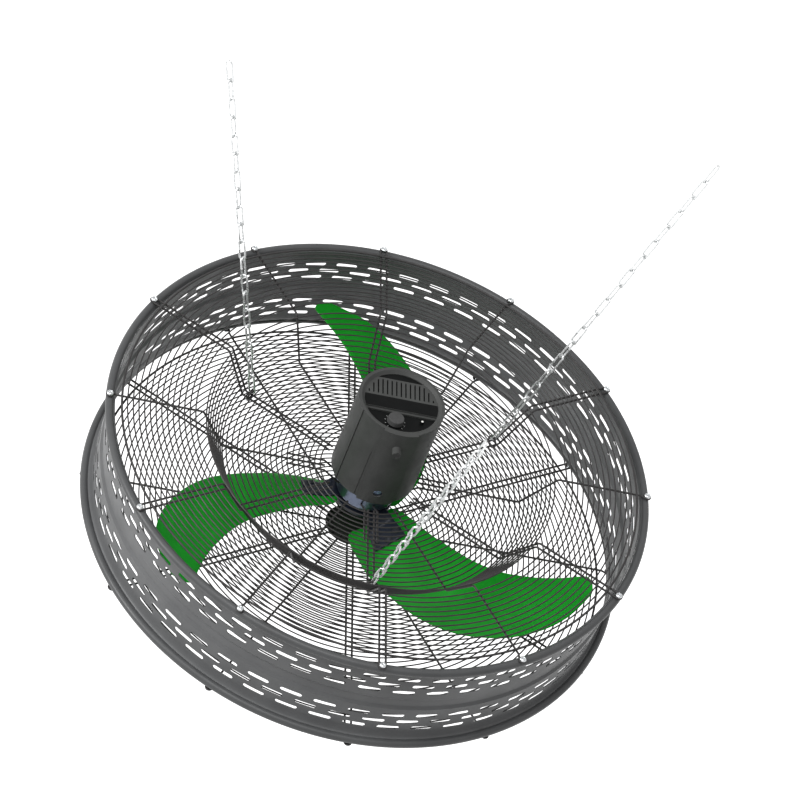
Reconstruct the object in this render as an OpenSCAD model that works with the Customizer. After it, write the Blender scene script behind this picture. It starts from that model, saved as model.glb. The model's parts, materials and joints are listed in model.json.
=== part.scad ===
/* [Drum] */
// Inner radius of the drum wall
wall_r = 322; // [310:1:330]
// Thickness of the drum's sheet steel
wall_t = 1.2; // [1:0.1:1.6]
// Height between the centres of the two rim tubes
drum_h = 132.8; // [130:0.1:150]
// Diameter of the rolled rim tubes
rim_d = 10.5; // [9.5:0.1:12]
// Sheet thickness of the rim tubes
rim_t = 1.2; // [1:0.1:1.6]
// Drop from the inlet rim's centre to the middle of the inward bead
bead_drop = 67.2; // [62:0.1:72]
// Height of the inward bead
bead_h = 20; // [14:1:24]
// Depth of the inward bead
bead_depth = 2.5; // [1.5:0.1:4]
// Radial width of the flare above the outlet rim
flare_w = 3.65; // [2:0.05:5]
// Height of the flare above the outlet rim
flare_h = 10.6; // [8:0.1:12]

/* [Drum slots] */
// Slots in each row
slot_count = 50; // [40:1:52]
// Length of a slot
slot_l = 26.5; // [20:0.5:28]
// Height of a slot
slot_w = 6; // [4:0.5:7]
// Height between the rows of one band
slot_row_pitch = 11.4; // [10:0.1:12]
// Height from the bead's middle to the middle row of each band
slot_band_offset = 33.25; // [31:0.05:34]
// Azimuth of the first slot
slot_phase = 3.5; // [0:0.1:7]

/* [Guards] */
// Distance from the drum wall's inside out to the circle of guard screws
screw_out = 8; // [7:0.1:9]
// Diameter of the radial guard wires
wire_d = 2.6; // [2:0.1:3]
// Diameter of the guard rings' wire
ring_d = 1.8; // [1.4:0.1:2.2]
// Diameter of the outermost ring's wire
edge_ring_d = 2.8; // [2:0.1:3.2]
// Distance from the screw circle in to the outermost guard ring
edge_ring_in = 14.2; // [13:0.1:17]
// Distance from the step's top out to the nearest ring of the flat
flat_ring_out = 9.79; // [8:0.01:11]
// Distance from the centre disc out to the nearest ring of the outlet guard
disc_ring_out = 7.53; // [6:0.01:10]
// Spacing of the guard rings on the step and on the inner flat
ring_pitch = 6.77; // [6:0.01:8]
// Rings on the outer flat of the inlet guard
outer_rings = 14; // [10:1:14]
// Rings on the sloping step of the inlet guard
step_rings = 9; // [5:1:9]
// Rings on the inner flat of the inlet guard
inner_rings = 18; // [10:1:18]
// Rings on the outlet guard
outlet_rings = 42; // [30:1:42]
// Radius where the inlet guard bends down
step_top_r = 218; // [216:1:221]
// Radius where the inlet guard levels out again
step_foot_r = 184; // [183:0.5:188]
// Depth of the recess in the inlet guard
guard_dip = 51.6; // [48:0.1:54]
// Centre-line radius of the wires' bends
wire_bend = 5; // [4:0.5:8]
// Half the distance between the two wires of a double radial
pair_half = 3.8; // [3.6:0.1:4.2]
// Radius of the centre disc of the outlet guard
disc_r = 30.7; // [28:0.1:34]
// Thickness of the centre disc
disc_t = 1.5; // [1:0.1:2]
// Radius at the inner ends of the inlet guard's radial wires
wire_foot_r = 57.5; // [57:0.1:59]
// Radius at the outer ends of the motor bracket rods
rod_reach = 105; // [95:1:115]
// Radius where the motor bracket rods turn down
rod_bend_r = 58; // [56:0.5:60]
// Drop of the motor bracket rods to the motor bell
rod_drop = 18; // [15:0.5:20]
// Half the distance between two bracket rods
rod_half = 7.8; // [7.2:0.1:10]

/* [Screws] */
// Nominal thread diameter of the guard screws
screw_d = 4; // [3:0.5:4.5]
// Head diameter of the guard screws
screw_head_d = 8; // [7:0.5:10]
// Head height of the guard screws
screw_head_h = 2.5; // [2:0.1:3]
// Length of a guard screw under its head
screw_l = 9; // [7:0.5:10]

/* [Chains] */
// Wire diameter of a chain link
link_wire = 2.5; // [2:0.1:2.6]
// Outer width of a chain link
link_w = 10; // [9:0.1:11]
// Inner length of a chain link
link_inner = 24.3; // [20:0.1:28]
// Links in each chain
link_count = 19; // [5:2:25]
// Lean of the chains away from the axis at rest
chain_lean = 20.3; // [10:0.1:30]
// Radius at which the chain eyes sit on the guard
eye_r = 175.4; // [175.2:0.05:175.6]
// Inner diameter of a chain eye
eye_inner_d = 12; // [12:0.1:13]

/* [Motor cover] */
// Outer radius of the motor cover
cover_r = 52.3; // [51.5:0.1:54]
// Height of the motor cover
cover_h = 123; // [118:1:140]
// Rise from the guard's inner flat to the cover's foot
cover_lift = 10.15; // [9:0.05:12]
// Wall thickness of the motor cover
cover_t = 2.5; // [2:0.1:2.8]
// Width of the flat rim at the top of the cover
cover_rim_w = 3.7; // [2:0.1:5]
// Width of the slope inside the rim
cover_slope_w = 3.4; // [2:0.1:4]
// Drop from the rim to the end face
face_drop = 3.25; // [2:0.05:5]
// Drop from the end face to the knob panel
panel_drop = 4.5; // [3:0.1:6]
// Distance from the axis to the edge of the knob panel
panel_edge = 15; // [14:0.5:17]
// Depth of the recess at the end face's plain edge
crescent_drop = 1.4; // [0.5:0.1:1.8]
// Distance from the axis to that recess
crescent_edge = 35; // [34:0.5:38]
// Louvre slots in the end face
louvre_count = 15; // [9:2:15]
// Spacing of the louvre slots
louvre_pitch = 5.57; // [5:0.01:5.6]
// Width of a louvre slot
louvre_w = 1.7; // [1:0.1:2.5]
// Distance from the axis to the near end of the louvre slots
louvre_near = 9.3; // [8:0.1:12]
// Distance from the axis to the far end of the middle louvre slots
louvre_far = 32.3; // [28:0.1:33.5]
// Radius that the louvre slots keep inside
louvre_r = 42; // [40:0.5:43]
// Radial height of the raised side panel
side_panel_t = 3; // [2:0.1:4]
// Radial height of the cover's ribs
rib_t = 1.2; // [0.8:0.1:2]
// Diameter of the access hole in the cover's side
access_d = 11; // [8:0.5:13]
// Height of the access hole's centre above the cover's foot
access_h = 18; // [14:0.5:24]
// Near edge of the blank label, on the panel's side of the axis
label_near = 12; // [10:0.1:12.5]
// Far edge of the blank label, on the louvres' side of the axis
label_far = 5.4; // [4:0.1:6]
// Thickness of the blank label
label_t = 0.4; // [0.2:0.1:0.8]

/* [Controls] */
// Knob diameter
knob_d = 20.4; // [16:0.2:21]
// Knob height
knob_h = 6.6; // [6:0.1:9]
// Sideways place of the knob on the panel
knob_x = -6.8; // [-8:0.1:-4]
// Distance of the knob from the axis across the panel
knob_y = 28.5; // [27:0.1:29]
// Diameter of the speed control's shaft
knob_shaft_d = 6; // [5:0.1:6.3]
// Sideways place of the indicator lamp
lamp_x = 25.7; // [22:0.1:27]
// Distance of the lamp from the axis across the panel
lamp_y = 22.6; // [21:0.1:26]
// Diameter of the indicator lamp
lamp_d = 5; // [4:0.1:6]
// Outer diameter of the cord gland
gland_d = 11; // [10.5:0.1:12.5]
// Diameter of the cord hole through the gland
gland_bore_d = 7; // [5:0.1:7.2]
// Length of the gland outside the cover
gland_l = 10; // [6:0.5:14]
// Height of the gland above the cover's foot
gland_h = 98.6; // [94:0.1:100]

/* [Motor] */
// Outer radius of the mounting flange
flange_r = 49.4; // [48.5:0.1:49.6]
// Thickness of the mounting flange
flange_t = 3; // [2:0.1:3.2]
// Outer radius of the motor bell under the flange
bell_r = 36.6; // [35:0.1:36.7]
// Height of the motor bell
bell_h = 39; // [37:0.1:39.5]
// Wall thickness of the motor bell
bell_t = 2.5; // [2:0.1:3]
// Radius of the motor bell's lower edge
bell_edge_r = 6; // [4:0.5:8]
// Outer radius of the motor frame
frame_r = 46; // [45:0.1:46.5]
// Wall thickness of the motor frame
frame_t = 2; // [1.5:0.1:2.2]
// Height of the motor frame
frame_h = 65.8; // [63:0.1:70]
// Thickness of the upper end shield
shield_t = 3; // [2.5:0.1:5]
// Bore of the stator
stator_bore_r = 27.5; // [27:0.1:28]
// Air gap between rotor and stator
air_gap = 0.5; // [0.3:0.05:0.8]
// Height of the stator's stack
stack_h = 40; // [34:1:42]
// Stator slots
stator_slots = 12; // [12:1:14]
// Diameter of the motor shaft at the bearings
shaft_d = 12; // [10:0.5:12.5]
// Diameter of the shaft in the rotor
rotor_shaft_d = 14; // [13:0.5:15]
// Outer diameter of a ball bearing
bearing_d = 28; // [27:0.5:29]
// Width of a ball bearing
bearing_w = 8; // [7.5:0.1:9]
// Balls in each bearing
ball_count = 9; // [6:1:10]
// Diameter of a bearing ball
ball_d = 4.7; // [4:0.1:4.8]

/* [Blades] */
// Number of blades
blade_count = 3; // [3:1:3]
// Gap between the blades' tips and the drum's wall
tip_gap = 23.3; // [18:0.1:40]
// Depth of the blades along the axis
blade_depth = 47.9; // [40:0.1:52]
// Drop from the guard's inner flat to the blades' highest points
blade_drop = 19.4; // [16:0.1:24]
// Thickness of a blade
blade_t = 2; // [1.5:0.1:3]
// Thickness of a blade arm
arm_t = 2.5; // [2:0.1:3]
// Reach of the arms from the axis
arm_r = 74; // [70:1:80]
// Width of an arm at its outer end
arm_w = 38; // [34:1:40]
// Width of an arm at the hub
arm_root_w = 25; // [22:1:27]
// Drop from the guard's inner flat to the hub's flange
hub_drop = 34.8; // [32:0.1:38]
// Radius of the hub's flange
hub_r = 36; // [35:0.5:37]
// Thickness of the hub's flange
hub_t = 4; // [3:0.1:6]
// Radius of the hub's boss
boss_r = 14; // [13:0.5:15]
// Height of the boss above the flange
boss_up = 4; // [3:0.5:4.5]
// Height of the boss below the flange
boss_down = 8; // [6:0.5:10]

/* [Hidden] */
// Circle of the guard screws, guard rings and the blades' tips, all set out from the drum's wall
screw_circle_r = wall_r + screw_out;
edge_ring_r = screw_circle_r - edge_ring_in;
flat_pitch = (edge_ring_r - step_top_r - flat_ring_out) / (outer_rings - 1);
outlet_pitch = (edge_ring_r - disc_r - disc_ring_out) / (outlet_rings - 1);
blade_tip_r = wall_r - tip_gap;

$fn = 64;

// Small clearances and overruns that every piece shares
seat_gap = 0.05;
run_gap = 0.05;
press_gap = 0.02;
soft_gap = 0.3;
cut_over = 2;
full_turn = 360;
half_turn = 180;
quarter_turn = 90;

// Colours
steel_paint = [0.26, 0.26, 0.27];
wire_paint = [0.14, 0.14, 0.15];
zinc = [0.8, 0.81, 0.82];
blue_steel = [0.42, 0.5, 0.6];
cover_plastic = [0.27, 0.28, 0.28];
panel_plastic = [0.1, 0.1, 0.1];
blade_green = [0.1, 0.5, 0.12];
arm_paint = [0.12, 0.15, 0.21];
bare_steel = [0.6, 0.62, 0.65];
copper = [0.72, 0.4, 0.2];
board_green = [0.1, 0.35, 0.2];
lens_white = [0.95, 0.95, 0.92];
case_grey = [0.75, 0.75, 0.78];
cast_grey = [0.68, 0.69, 0.72];

// Azimuths of the radial wires, screws and chains
radial_count = 12;
double_phase = 30;
double_count = 6;
single_phase = 0;
bracket_count = 4;
chain_count = 3;
chain_phase = 30;

// Heights, measured from the centre plane of the inlet guard's outer wires
ring_lift = wire_d / 2 + seat_gap + ring_d / 2;
edge_ring_lift = wire_d / 2 + seat_gap + edge_ring_d / 2;
inlet_rim_z = -(wire_d / 2 + seat_gap + rim_d / 2);
outlet_rim_z = inlet_rim_z - drum_h;
outlet_wire_z = outlet_rim_z + inlet_rim_z;
dip_z = -guard_dip;
bead_z = inlet_rim_z - bead_drop;
outlet_third = floor(outlet_rings / 3);

// Radii of the rim tubes
rim_seat_share = 0.3;
rim_rise_share = 0.4;
inlet_rim_r = wall_r + wall_t + seat_gap + rim_d / 2;
outlet_rim_r = wall_r + wall_t + flare_w + rim_d * rim_seat_share;
wall_foot_z = outlet_rim_z + rim_d * rim_rise_share + 2 * seat_gap;
bead_slope_share = 0.2;
cove_steps = 8;

// Chain geometry: the hinge is the centre of the eye's upper wire
eye_wire = link_wire;
eye_ring_r = (eye_inner_d + eye_wire) / 2;
eye_z = dip_z + sqrt(pow(eye_inner_d / 2 - wire_d / 2 - run_gap, 2) - pow(pair_half, 2));
hinge_z = eye_z + eye_ring_r;
link_end_r = (link_w - link_wire) / 2;
link_side = link_inner - 2 * (link_end_r - link_wire / 2);
link_pitch = link_inner - seat_gap;
first_link_rise = link_inner / 2 - link_wire / 2 - seat_gap;
chain_seat = first_link_rise + (link_count - 1) * link_pitch + link_inner / 2;
hang_h = hinge_z + chain_seat * cos(chain_lean);

// Motor cover heights
cover_z = dip_z + cover_lift;
flange_z = cover_z + seat_gap;
bell_z = flange_z - bell_h;
cover_top_z = cover_z + cover_h;
face_z = cover_top_z - face_drop;
panel_z = face_z - panel_drop;
cover_in_r = cover_r - cover_t;
face_r = cover_r - cover_rim_w - cover_slope_w;
step_edge = 12.4;
face_lip = 0.4;
side_panel_from = 247;
side_panel_to = 292;
rib_a_from = 204;
rib_a_to = 209;
rib_b_from = 292.8;
rib_b_to = 296;
seam_from = 242;
seam_to = 243.4;
seam_depth = 0.6;
seam_h = 78;

// Speed control
panel_plate_t = 0.5;
panel_plate_gap = 0.6;
nut_h = 2;
nut_across = 10;
bushing_d = 7;
bushing_l = 6.5;
pot_d = 16.5;
pot_h = 8;
pot_z = panel_z - cover_t - seat_gap - pot_h;
board_t = 1.6;
board_x = 28.5;
board_near = 9;
board_far = 38;
board_z = pot_z - seat_gap - board_t;
knob_lift = 1.2;
knob_z = panel_z + panel_plate_t + seat_gap + knob_lift;
knob_skirt_t = 2;
pointer_w = 1;
shaft_top_z = knob_z + knob_h - knob_skirt_t;
lamp_rise = 1;
lamp_body_h = 7;
component_h = 7;
component_w = 9;

// Gland
gland_z = cover_z + gland_h;
gland_wall_r = cover_r + side_panel_t;
gland_body_d = 9;
gland_inner_r = 46;
gland_nut_across = 12;
gland_nut_t = 2.6;

// Motor stack
frame_z = flange_z + flange_t + seat_gap;
frame_top_z = frame_z + frame_h;
shield_z = frame_top_z + seat_gap;
lower_bearing_z = bell_z + flange_t + seat_gap;
bearing_pocket_gap = 0.05;
upper_bearing_z = shield_z - bearing_w - seat_gap;
bearing_boss_t = 5;
bearing_boss_r = bearing_d / 2 + bearing_boss_t;
stack_lift = 12;
stack_z = frame_z + stack_lift;
stator_r = frame_r - frame_t - seat_gap;
stator_yoke_r = 38;
stator_slot_w = 5;
stator_mouth_w = 2;
tooth_tip = 1.2;
coil_r = 37.3;
coil_in_r = 29.4;
coil_head_h = 9;
rotor_r = stator_bore_r - air_gap;
bearing_mid_r = (bearing_d + shaft_d) / 4;
race_half = 1.5;
race_in_r = bearing_mid_r - race_half;
race_out_r = bearing_mid_r + race_half;
tie_r = 41;
tie_d = 4;
tie_head_d = 7;
tie_head_h = 2.6;
tie_count = 4;
tie_phase = 45;
rod_foot_r = bell_r - bell_t + 2 * seat_gap;
rod_foot_z = dip_z - rod_drop;

// Pillars that hold the cover down, under the label
pillar_x = 30;
pillar_y = 3.3;
pillar_d = 8;
pillar_stud_d = 4;
pillar_z = shield_z + shield_t + seat_gap;
pillar_top_z = face_z - cover_t - seat_gap;
pillar_thread_r = 1.65;
cover_screw_d = 3;
cover_screw_head_d = 6;
cover_screw_l = 12;
cap_x = 38;
cap_y = 16;
cap_h = 26;
cap_off = 20;

// Hub and arms
hub_top_z = dip_z - hub_drop;
arm_bottom_gap = seat_gap;
hub_nut_h = 7;
shaft_tip = 2;
shaft_foot_z = hub_top_z - hub_t - boss_down - hub_nut_h - shaft_tip;
hub_nut_across = 19;
thread_d = 10;
arm_azimuth = 30;
arm_root_r = 16.5;
arm_long_steps = 12;
arm_cross_steps = 6;
arm_flat_r = 37;
arm_blend_r = 50;
arm_lift = 0.3;
bolt_r = 27;
bolt_half = 7.5;
bolt_d = 5;
bolt_head_d = 8;
bolt_head_h = 3;
rivet_d = 5;
rivet_head_d = 9;
rivet_head_h = 2.2;
set_screw_d = 5;
set_screw_l = 6.5;
set_screw_z = hub_top_z - hub_t - boss_down / 2;

// Blade outline: share of the tip radius, leading azimuth, trailing azimuth, leading drop, trailing drop.
// The drops are shares of the blade's depth
blade_phase = 150;
blade_camber = 1.35;
blade_chord_steps = 8;
blade_shares = [
    [0.127, 60.0, -2.0, 0.290, 0.880],
    [0.138, 64.5, -10.0, 0.285, 0.910],
    [0.166, 66.0, -12.0, 0.270, 0.930],
    [0.221, 63.0, -3.0, 0.241, 0.965],
    [0.276, 60.0, 3.5, 0.235, 0.985],
    [0.331, 59.0, 8.5, 0.230, 1.000],
    [0.387, 59.0, 13.5, 0.226, 0.990],
    [0.442, 59.0, 18.0, 0.222, 0.975],
    [0.497, 59.2, 21.5, 0.218, 0.955],
    [0.552, 60.0, 25.0, 0.214, 0.931],
    [0.608, 61.3, 28.5, 0.210, 0.890],
    [0.663, 63.0, 32.3, 0.207, 0.845],
    [0.718, 65.0, 36.4, 0.180, 0.793],
    [0.773, 66.9, 41.0, 0.145, 0.710],
    [0.829, 69.0, 45.7, 0.107, 0.620],
    [0.884, 71.2, 51.0, 0.069, 0.483],
    [0.928, 72.9, 55.8, 0.030, 0.350],
    [0.961, 73.8, 60.5, 0.012, 0.230],
    [0.983, 73.0, 65.5, 0.004, 0.130],
    [0.994, 71.5, 68.0, 0.010, 0.070],
    [1.000, 70.4, 69.2, 0.025, 0.050]];

// A column of the outline table as a lookup over the radius share
function blade_column(column) = [for (row = blade_shares) [row[0], row[column]]];
lead_table = blade_column(1);
trail_table = blade_column(2);
lead_drop_table = blade_column(3);
trail_drop_table = blade_column(4);
blade_top_z = dip_z - blade_drop;
function camber(s) = pow(min(max(s, 0), 1), blade_camber);
function blade_z_at(share, s) = blade_top_z - blade_depth
    * (lookup(share, lead_drop_table)
    + (lookup(share, trail_drop_table) - lookup(share, lead_drop_table)) * camber(s));
function blade_point(share, s) = let (
    angle = lookup(share, lead_table) + s * (lookup(share, trail_table) - lookup(share, lead_table)))
    [share * blade_tip_r * cos(angle), share * blade_tip_r * sin(angle), blade_z_at(share, s)];
function chord_place(share, angle) =
    (angle - lookup(share, lead_table)) / (lookup(share, trail_table) - lookup(share, lead_table));
function blade_z_under(x, y) = let (share = norm([x, y]) / blade_tip_r, angle = atan2(y, x))
    blade_z_at(share, chord_place(share, angle));

// Arm surface: flat on the hub, then down to the blade it carries
function smooth(t) = let (u = min(max(t, 0), 1)) u * u * (3 - 2 * u);
arm_hub_z = hub_top_z + arm_bottom_gap;
function arm_point(u, w) = let (
    half = (arm_root_w + (arm_w - arm_root_w) * smooth((u - arm_root_r) / (arm_r - arm_root_r))) / 2,
    x = u * cos(arm_azimuth) - w * half * sin(arm_azimuth),
    y = u * sin(arm_azimuth) + w * half * cos(arm_azimuth),
    t = smooth((u - arm_flat_r) / (arm_blend_r - arm_flat_r)))
    [x, y, arm_hub_z * (1 - t) + (t > 0 ? (blade_z_under(x, y) + arm_lift) * t : 0)];
function arm_normal(u, w) = let (
    step_share = 0.02,
    a = arm_point(u * (1 + step_share), w) - arm_point(u * (1 - step_share), w),
    b = arm_point(u, w + step_share) - arm_point(u, w - step_share),
    n = cross(a, b))
    n / norm(n);
rivet_places_shares = [[0.84, -0.62], [0.84, 0.62], [0.93, 0]];

// Places everything that is measured from the guard plane below the hanging point
module hung() {
    translate([0, 0, -hang_h]) children();
}

module around(count, phase = 0) {
    for (i = [0 : count - 1]) rotate(phase + i * full_turn / count) children();
}

module ring(radius, thickness) {
    rotate_extrude($fn = 128) translate([radius, 0]) circle(d = thickness, $fn = 24);
}

module tube(outer_r, inner_r, height) {
    difference() {
        cylinder(r = outer_r, h = height);
        translate([0, 0, -cut_over]) cylinder(r = inner_r, h = height + 2 * cut_over);
    }
}

// A slice of a disc between two azimuths
module sector(radius, from, to) {
    reach = 2 * radius;
    intersection() {
        circle(r = radius, $fn = 128);
        polygon([[0, 0], reach * [cos(from), sin(from)], reach * [cos(to), sin(to)]]);
    }
}

module hexagon(across, height) {
    cylinder(d = across / cos(half_turn / 6), h = height, $fn = 6);
}

// A round rod that follows a path of points, as one closed surface with flat ends
rod_sides = 8;
function unit(v) = v / norm(v);
function path_tangent(path, i) = unit(path[min(i + 1, len(path) - 1)] - path[max(i - 1, 0)]);
function rod_ring(path, i, thickness) = let (
    t = path_tangent(path, i),
    side = unit(cross(t, [0, 0, 1])),
    rise = cross(side, t))
    [for (k = [0 : rod_sides - 1]) let (a = full_turn * (k + 0.5) / rod_sides)
        path[i] + thickness / 2 * (cos(a) * side + sin(a) * rise)];
module rod(path, thickness) {
    last = len(path) - 1;
    points = [for (i = [0 : last]) each rod_ring(path, i, thickness)];
    sides = [for (i = [0 : last - 1]) for (k = [0 : rod_sides - 1]) let (
        a = i * rod_sides + k,
        b = i * rod_sides + (k + 1) % rod_sides)
        for (f = [[a, b, b + rod_sides], [a, b + rod_sides, a + rod_sides]]) f];
    start = [for (k = [rod_sides - 1 : -1 : 0]) k];
    end = [for (k = [0 : rod_sides - 1]) last * rod_sides + k];
    polyhedron(points = points, faces = concat([start], sides, [end]), convexity = 6);
}

module half_ring(radius, thickness) {
    rotate(-quarter_turn) rotate_extrude(angle = half_turn, $fn = 48) translate([radius, 0])
        circle(d = thickness, $fn = 24);
}

// The drum

module wall_profile() {
    half_bead = bead_h / 2;
    slope = bead_h * bead_slope_share;
    top = inlet_rim_z;
    inside = [[0, top], [0, bead_z + half_bead], [-bead_depth, bead_z + half_bead - slope],
        [-bead_depth, bead_z - half_bead + slope], [0, bead_z - half_bead]];
    cove = [for (k = [0 : cove_steps]) let (a = quarter_turn * k / cove_steps)
        [flare_w * (1 - cos(a)), wall_foot_z + flare_h * (1 - sin(a))]];
    path = concat(inside, cove);
    polygon(concat(
        [for (p = path) [wall_r + p[0], p[1]]],
        [for (k = [len(path) - 1 : -1 : 0]) [wall_r + wall_t + path[k][0], path[k][1]]]));
}

module slot_cutter() {
    translate([wall_r - bead_depth - cut_over, 0, 0]) rotate([quarter_turn, 0, quarter_turn])
        linear_extrude(wall_t + bead_depth + flare_w + 2 * cut_over) {
            square([slot_l - slot_w, slot_w], center = true);
            for (s = [-1, 1]) translate([s * (slot_l - slot_w) / 2, 0]) circle(d = slot_w);
        }
}

module drum_shell() color(steel_paint) hung() difference() {
    rotate_extrude($fn = 180) wall_profile();
    for (band = [-1, 1]) for (row = [-1 : 1])
        translate([0, 0, bead_z + band * slot_band_offset + row * slot_row_pitch])
            around(slot_count, slot_phase + (row == 0 ? full_turn / slot_count / 2 : 0)) slot_cutter();
}

module rim(radius, side) {
    difference() {
        ring(radius, rim_d);
        ring(radius, rim_d - 2 * rim_t);
        around(radial_count) translate([screw_circle_r, 0, side > 0 ? 0 : -rim_d])
            cylinder(d = screw_d + 4 * seat_gap, h = rim_d);
    }
}

module inlet_rim() color(steel_paint) hung() translate([0, 0, inlet_rim_z]) rim(inlet_rim_r, 1);

module outlet_rim() color(steel_paint) hung() translate([0, 0, outlet_rim_z]) rim(outlet_rim_r, -1);

// The guards

module inlet_guard_outer_rings() color(wire_paint) hung() {
    translate([0, 0, edge_ring_lift]) ring(edge_ring_r, edge_ring_d);
    for (i = [1 : outer_rings - 1]) translate([0, 0, ring_lift]) ring(edge_ring_r - i * flat_pitch, ring_d);
}

module inlet_guard_step_rings() color(wire_paint) hung() {
    run = step_top_r - step_foot_r;
    slope_l = norm([run, guard_dip]);
    for (i = [0 : step_rings - 1]) {
        place = (slope_l - (step_rings - 1) * ring_pitch) / 2 + i * ring_pitch;
        r = step_top_r - (place * run + ring_lift * guard_dip) / slope_l;
        z = (-place * guard_dip + ring_lift * run) / slope_l;
        translate([0, 0, z]) ring(r, ring_d);
    }
}

module inlet_guard_inner_rings() color(wire_paint) hung() translate([0, 0, dip_z + ring_lift]) {
    outermost = eye_r + ring_pitch / 2;
    for (i = [0 : inner_rings - 1]) ring(outermost - i * ring_pitch, ring_d);
}

// The radial wires' path in from the edge: out along the flat, down the step and in to the flange.
// A bend's points lie on an arc that meets both straights
bend_steps = 4;
step_angle = atan2(guard_dip, step_top_r - step_foot_r);
bend_trim = wire_bend * tan(step_angle / 2);
function arc_in(y) = [for (k = [0 : bend_steps]) let (a = step_angle * k / bend_steps)
    [step_top_r + bend_trim - wire_bend * sin(a), y, -wire_bend * (1 - cos(a))]];
function arc_out(y) = [for (k = [bend_steps : -1 : 0]) let (a = step_angle * k / bend_steps)
    [step_foot_r - bend_trim + wire_bend * sin(a), y, dip_z + wire_bend * (1 - cos(a))]];
function inlet_half(y) = concat(arc_in(y), arc_out(y), [[wire_foot_r, y, dip_z]]);
function reversed(list) = [for (i = [len(list) - 1 : -1 : 0]) list[i]];
loop_steps = 8;
function loop_point(a) = [screw_circle_r + pair_half * cos(a), pair_half * sin(a), 0];
function pair_loop() = [for (k = [0 : loop_steps]) loop_point(-quarter_turn + half_turn * k / loop_steps)];
hook_from = -135;
hook_to = 160;
hook_lead_share = 2.3;
function hook_loop() = concat([[screw_circle_r - hook_lead_share * pair_half, 0, 0]],
    [for (k = [0 : loop_steps]) loop_point(hook_from + (hook_to - hook_from) * k / loop_steps)]);

module inlet_guard_double_wires() color(wire_paint) hung() around(double_count, double_phase)
    rod(concat(reversed(inlet_half(-pair_half)), pair_loop(), inlet_half(pair_half)), wire_d);

module inlet_guard_single_wires() color(wire_paint) hung() around(double_count, single_phase)
    rod(concat(reversed(inlet_half(0)), hook_loop()), wire_d);

// A bracket rod comes in along the guard's inner flat and then slopes down into the motor bell's wall
function bracket_path(y) = [[rod_reach, y, dip_z], [rod_bend_r, y, dip_z], [rod_foot_r, y, rod_foot_z]];
module motor_bracket_rods() color(wire_paint) hung() around(bracket_count) for (s = [-1, 1])
    rod(bracket_path(s * rod_half), wire_d);

module outlet_rings_between(first, last) {
    for (i = [first : last]) translate([0, 0, outlet_wire_z - ring_lift])
        ring(edge_ring_r - i * outlet_pitch, ring_d);
}

module outlet_guard_outer_rings() color(wire_paint) hung() {
    translate([0, 0, outlet_wire_z - edge_ring_lift]) ring(edge_ring_r, edge_ring_d);
    outlet_rings_between(1, outlet_third - 1);
}

module outlet_guard_middle_rings() color(wire_paint) hung()
    outlet_rings_between(outlet_third, 2 * outlet_third - 1);

module outlet_guard_inner_rings() color(wire_paint) hung()
    outlet_rings_between(2 * outlet_third, outlet_rings - 1);

outlet_end_share = 0.65;
function outlet_end(y) = [[disc_r * outlet_end_share, y, 0]];
module outlet_guard_double_wires() color(wire_paint) hung() translate([0, 0, outlet_wire_z])
    around(double_count, double_phase)
    rod(concat(outlet_end(-pair_half), pair_loop(), outlet_end(pair_half)), wire_d);

module outlet_guard_single_wires() color(wire_paint) hung() translate([0, 0, outlet_wire_z])
    around(double_count, single_phase) rod(concat(outlet_end(0), hook_loop()), wire_d);

module outlet_guard_disc() color(wire_paint) hung()
    translate([0, 0, outlet_wire_z - wire_d / 2 - seat_gap - disc_t]) cylinder(r = disc_r, h = disc_t);

// The guard screws, with their heads up

recess_l_share = 0.5;
recess_w_share = 0.1;
module guard_screw() {
    recess_l = screw_head_d * recess_l_share;
    recess_w = screw_head_d * recess_w_share;
    difference() {
        intersection() {
            cylinder(d = screw_head_d, h = screw_head_h, $fn = 32);
            translate([0, 0, screw_head_h - screw_head_d]) sphere(r = screw_head_d, $fn = 64);
        }
        for (a = [0, quarter_turn]) rotate(a)
            translate([-recess_l / 2, -recess_w / 2, screw_head_h / 2])
                cube([recess_l, recess_w, screw_head_h]);
    }
    translate([0, 0, -screw_l]) cylinder(d = screw_d, h = screw_l, $fn = 32);
}

module inlet_guard_screws() color(zinc) hung() around(radial_count)
    translate([screw_circle_r, 0, wire_d / 2 + seat_gap]) guard_screw();

module outlet_guard_screws() color(zinc) hung() around(radial_count)
    translate([screw_circle_r, 0, outlet_wire_z - wire_d / 2 - seat_gap]) mirror([0, 0, 1]) guard_screw();

// The chains

module chain_eyes() color(wire_paint) hung() around(chain_count, chain_phase)
    translate([eye_r, 0, eye_z]) rotate([0, quarter_turn, 0]) rotate_extrude($fn = 64)
        translate([eye_ring_r, 0]) circle(d = eye_wire, $fn = 24);

module chain_link() {
    for (s = [-1, 1]) {
        translate([s * link_end_r, 0, -link_side / 2]) cylinder(d = link_wire, h = link_side, $fn = 24);
        translate([0, 0, s * link_side / 2]) rotate([quarter_turn, 0, 0]) rotate(s * quarter_turn)
            half_ring(link_end_r, link_wire);
    }
}

module chain(number, from, to) {
    color(zinc) hung() rotate(chain_phase + (number - 1) * full_turn / chain_count)
        translate([eye_r, 0, hinge_z]) rotate([0, chain_lean, 0])
        for (i = [from : to]) translate([0, 0, first_link_rise + (i - 1) * link_pitch])
            rotate(i % 2 == 1 ? 0 : quarter_turn) chain_link();
}

module chain_1() chain(2, 1, link_count - 1);

module chain_2() chain(3, 1, link_count - 1);

module chain_3() chain(1, 1, link_count - 1);

module chain_1_top_link() chain(2, link_count, link_count);

module chain_2_top_link() chain(3, link_count, link_count);

module chain_3_top_link() chain(1, link_count, link_count);

// The motor cover

module cover_outside() translate([0, 0, cover_z]) linear_extrude(cover_h) {
    circle(r = cover_r, $fn = 128);
    sector(cover_r + side_panel_t, side_panel_from, side_panel_to);
    sector(cover_r + rib_t, rib_a_from, rib_a_to);
    sector(cover_r + rib_t, rib_b_from, rib_b_to);
}

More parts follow.
